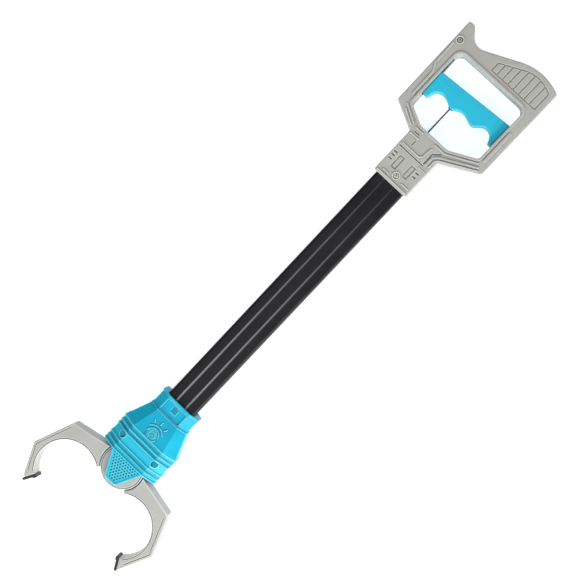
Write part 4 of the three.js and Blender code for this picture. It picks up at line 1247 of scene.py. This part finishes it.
def jawLines():
    # fine moulded lines just inside the hook and the outer edges
    hookX, hookY = jaw["hook"]
    cuspX, cuspY = jaw["cusp"]
    inset = jaw["lineInset"]
    start = atan2(cuspY - hookY, cuspX - hookX) - 0.12
    end = radians(jaw["hookEnd"]) - 2 * pi + 0.1
    hook = arcPoints(hookX, hookY, jaw["hookRadius"] + inset, start, end, 60)
    root = arcPoints(0, 0, jaw["rootRadius"], radians(99), 2, 1)[0]
    corners = [jaw["tip"], jaw["apex"], jaw["shoulder"], root]
    outer = offset([*corners, jaw["hook"]], inset + 1.2)[:4]
    outer[0] = tuple(Vector(outer[0]).lerp(Vector(outer[1]), 0.08))
    outer = outer[:2] + [tuple(Vector(outer[2]).lerp(Vector(outer[1]), 0.05))]
    width = jaw["lineWidth"]
    return [{"loop": ribbon(path, width, 0.2), "height": -jaw["lineDepth"], "foot": 0.1, "top": 0.12}
            for path in (hook, outer)]


def camPoints(half):
    # a band round the spiral path that the cam pin follows
    path, steps = [], 16
    for i in range(steps + 1):
        moved = jaw["travel"] * i / steps
        angle = pi + radians(jaw["closing"]) * moved / jaw["travel"]
        radius = jaw["camRest"] + moved
        path.append((radius * cos(angle), radius * sin(angle)))
    left, right = [], []
    for i, (x, y) in enumerate(path):
        ahead = (Vector(path[min(i + 1, steps)]) - Vector(path[max(i - 1, 0)])).normalized()
        left.append((x - ahead.y * half, y + ahead.x * half))
        right.append((x + ahead.y * half, y - ahead.x * half))

    def roundEnd(last, first, second, quarterTurns):
        forward = (Vector(path[second]) - Vector(path[first])).normalized()
        heading = atan2(forward.y, forward.x)
        start, end = (heading + turns * pi / 2 for turns in quarterTurns)
        return arcPoints(*path[last], half, start, end, 12)[1:-1]

    return anticlockwise(right + roundEnd(-1, -2, -1, (-1, 1)) + left[::-1] + roundEnd(0, 0, 1, (1, 3)))


def buildJaw(name, side):
    gap, high, turn = halfGap, jaw["hubHigh"], turnOver(side)
    mesh = bmesh.new()
    twoFaced(mesh, jawOutline(), jaw["half"], jaw["edge"], jawLines())
    piece = toObject(name, mesh, pivotPlace, turn)
    start, end = (radians(angle) for angle in (jaw["rootEnd"] + 3.4, jaw["rootStart"] - 3.4))
    web = [(0, 4.5)] + arcPoints(0, 0, jaw["rootRadius"] + 1.2, start, end, 16)
    for operation, loop, low, top, rim in (
        ("UNION", circle(0, 0, jaw["hubRadius"], 72), gap, high, 0.3),
        ("UNION", web, gap, high, 0.02),
        ("UNION", camPoints(jaw["camBand"]), gap, high, 0.3),
        ("DIFFERENCE", camPoints(jaw["camSlot"]), gap - 2, high + 2, 0.1),
        ("DIFFERENCE", circle(0, 0, jaw["bore"], 40), -12, 12, 0.1),
    ):
        slabTool(piece, operation, loop, low, top, rim, rim, pivotPlace, turn)
    return smooth(piece)


pad = {
    "start": -1.0, "end": 13.4, "thick": 3.0, "knob": 1.7, "half": 7.5, "edge": 0.6,
    "ribs": 6, "ribHeight": 0.35,
}


def buildPad(name, side):
    hookX, hookY = jaw["hook"]
    end = radians(jaw["hookEnd"])
    tilt = radians(jaw["tipAngle"])
    corner = Vector((hookX + jaw["hookRadius"] * cos(end), hookY + jaw["hookRadius"] * sin(end), 0))
    start, thick = pad["start"], pad["thick"]
    knobEnd = start + 2 * pad["knob"]
    corners = [(start, -0.3, 0.8), (start, -0.9 - thick, 1.2), (knobEnd, -0.9 - thick, 1.2)]
    pitch = (pad["end"] - knobEnd - 2.4) / pad["ribs"]
    for i in range(pad["ribs"]):
        x = knobEnd + 1.2 + pitch * i
        corners += [(x, -thick + pad["ribHeight"], 0.2), (x + pitch * 0.25, -thick, 0.2)]
        corners += [(x + pitch * 0.6, -thick, 0.2), (x + pitch * 0.85, -thick + pad["ribHeight"], 0.2)]
    corners += [(pad["end"], -thick, 0.9), (pad["end"], -0.3, 0.6)]
    mesh = bmesh.new()
    slab(mesh, roundLoop(corners, 4), -pad["half"], pad["half"], pad["edge"], pad["edge"])
    block(mesh, (jaw["tipLength"] / 2 - 1.5, -1.0, -4.5), (jaw["tipLength"] / 2 + 1.5, 3.5, 4.5))
    matrix = turnOver(side) @ Matrix.Translation(corner) @ Matrix.Rotation(tilt, 4, "Z")
    bmesh.ops.transform(mesh, matrix=matrix, verts=mesh.verts)
    return smooth(toObject(name, mesh, pivotPlace))


cap = {
    "radius": 21.3, "faceRadius": 19.6, "low": 6.95, "high": 9.45, "lip": 1.0, "grooveDeep": 0.6,
    "skirt": 3.8, "skirtLow": 4.45, "bore": 3.3,
}


def buildCap(name, side):
    radius, face = cap["radius"], cap["faceRadius"]
    low, high = cap["low"], cap["high"]
    shoulder = high - cap["lip"]
    groove = shoulder - cap["grooveDeep"]
    profile = [(cap["bore"], low), (radius - 0.3, low), (radius, low + 0.3), (radius, shoulder - 0.2),
               (radius - 0.2, shoulder), (face + 0.8, shoulder), (face + 0.65, groove), (face + 0.05, groove),
               (face, high - 0.35), (face - 0.35, high), (cap["bore"] + 0.4, high), (cap["bore"], high - 0.4)]
    mesh = bmesh.new()
    lathe(mesh, profile, 96, closed=True)
    outer = arcPoints(0, 0, radius, -pi / 2, pi / 2, 40)
    inner = arcPoints(0, 0, radius - cap["skirt"], pi / 2, -pi / 2, 40)
    slab(mesh, outer + inner, cap["skirtLow"], low + 0.2, 0.05, 0.3)
    return smooth(toObject(name, mesh, pivotPlace, turnOver(side)), 36)


spring = {"wire": 1.2, "turns": 7, "closedTurns": 1, "stepsPerTurn": 24, "sides": 10}


def buildSpring():
    low, high = boxOf("return_spring")
    wire, turns, closed, steps = (spring[key] for key in ("wire", "turns", "closedTurns", "stepsPerTurn"))
    radius = (high.y - low.y) / 2 - wire / 2
    start, end = low.x + wire / 2, high.x - wire / 2
    openPitch = (end - start - 2 * closed * wire) / turns
    path, x = [], start
    total = turns + 2 * closed
    for i in range(total * steps + 1):
        turn = i / steps
        angle = 2 * pi * turn
        path.append((x, radius * cos(angle), middleZ + radius * sin(angle)))
        x += (wire if turn < closed or turn >= total - closed else openPitch) / steps
    mesh = bmesh.new()
    sweep(mesh, path, wire / 2, spring["sides"])
    return smooth(toObject("returnSpring", mesh))


returnSpring = dress(buildSpring(), steel, "steel", "frame", "return_spring")
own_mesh(returnSpring)
print("return spring built")

for side, word in ((1, "left"), (-1, "right")):
    body = f"{word}_jaw_body"
    dress(buildJaw(f"{word}HookJaw", side), jawPlastic, "grey_plastic", body, f"{word}_jaw")
    dress(buildPad(f"{word}TipPad", side), blackRubber, "rubber_pad", body, f"{word}_jaw_pad")
for side, word in ((1, "front"), (-1, "back")):
    dress(buildCap(f"{word}PivotCap", side), greyPlastic, "grey_plastic", "frame", f"{word}_pivot_cap")
print("jaws, pads and caps built")


screw = {
    "shank": 1.3, "tip": 0.45, "taper": 2.2, "head": 2.7, "headHigh": 1.8,
    "crossLong": 3.2, "crossWide": 0.75, "crossDeep": 1.0, "firstTurn": 0.4, "nextTurn": 0.7,
}


def screwPattern(length):
    # a pan head with a cross recess, its seat at the origin
    wide, high, shank = screw["head"], screw["headHigh"], screw["shank"]
    profile = [(0, -length), (screw["tip"], -length), (shank, -length + screw["taper"]), (shank, 0),
               (wide - 0.15, 0), (wide, 0.15), (wide, high * 0.5), (wide * 0.93, high * 0.75),
               (wide * 0.75, high * 0.93), (wide * 0.5, high), (0, high)]
    mesh = bmesh.new()
    lathe(mesh, profile, 32)
    piece = toObject("screwPattern", mesh)
    for wide, long in ((screw["crossWide"], screw["crossLong"]), (screw["crossLong"], screw["crossWide"])):
        bar = bmesh.new()
        block(bar, (-wide / 2, -long / 2, high - screw["crossDeep"]), (wide / 2, long / 2, high + 1))
        combine(piece, toObject("bar", bar), "DIFFERENCE")
    return smooth(piece)


def buildScrews(name, nodes, sink=0.0):
    points, turns = [], []
    for i, node in enumerate(nodes):
        low, high = boxOf(node)
        front = high.z - middleZ > middleZ - low.z
        seat = high.z - screw["headHigh"] - sink if front else low.z + screw["headHigh"] + sink
        points.append(((low.x + high.x) / 2, (low.y + high.y) / 2, seat))
        turns.append((0 if front else pi, 0, screw["firstTurn"] + screw["nextTurn"] * i))
    pattern = screwPattern(high.z - low.z - screw["headHigh"])
    return dress(scatter(name, points, turns, pattern, zincSteel), zincSteel, "steel", "frame", *nodes)


buildScrews("handleScrews", [f"handle_screw_{i}" for i in range(1, 6)])
buildScrews("neckTubeScrew", ["neck_tube_screw"])
buildScrews("headTubeScrew", ["head_tube_screw"], plug["sink"])
buildScrews("headScrews", ["head_screw_1", "head_screw_2"])
print("screws laid out")


# the inner pieces keep their own shapes and take a finish
inside = {
    "rear_rod_guide": naturalPlastic, "front_rod_guide": naturalPlastic, "cam_slider": naturalPlastic,
    "rod_nut": steel, "cam_pin": steel, "pivot_pin": steel,
}
for node, material in inside.items():
    shown = frame["nodes"][node]
    shown.data.materials.clear()
    shown.data.materials.append(material)
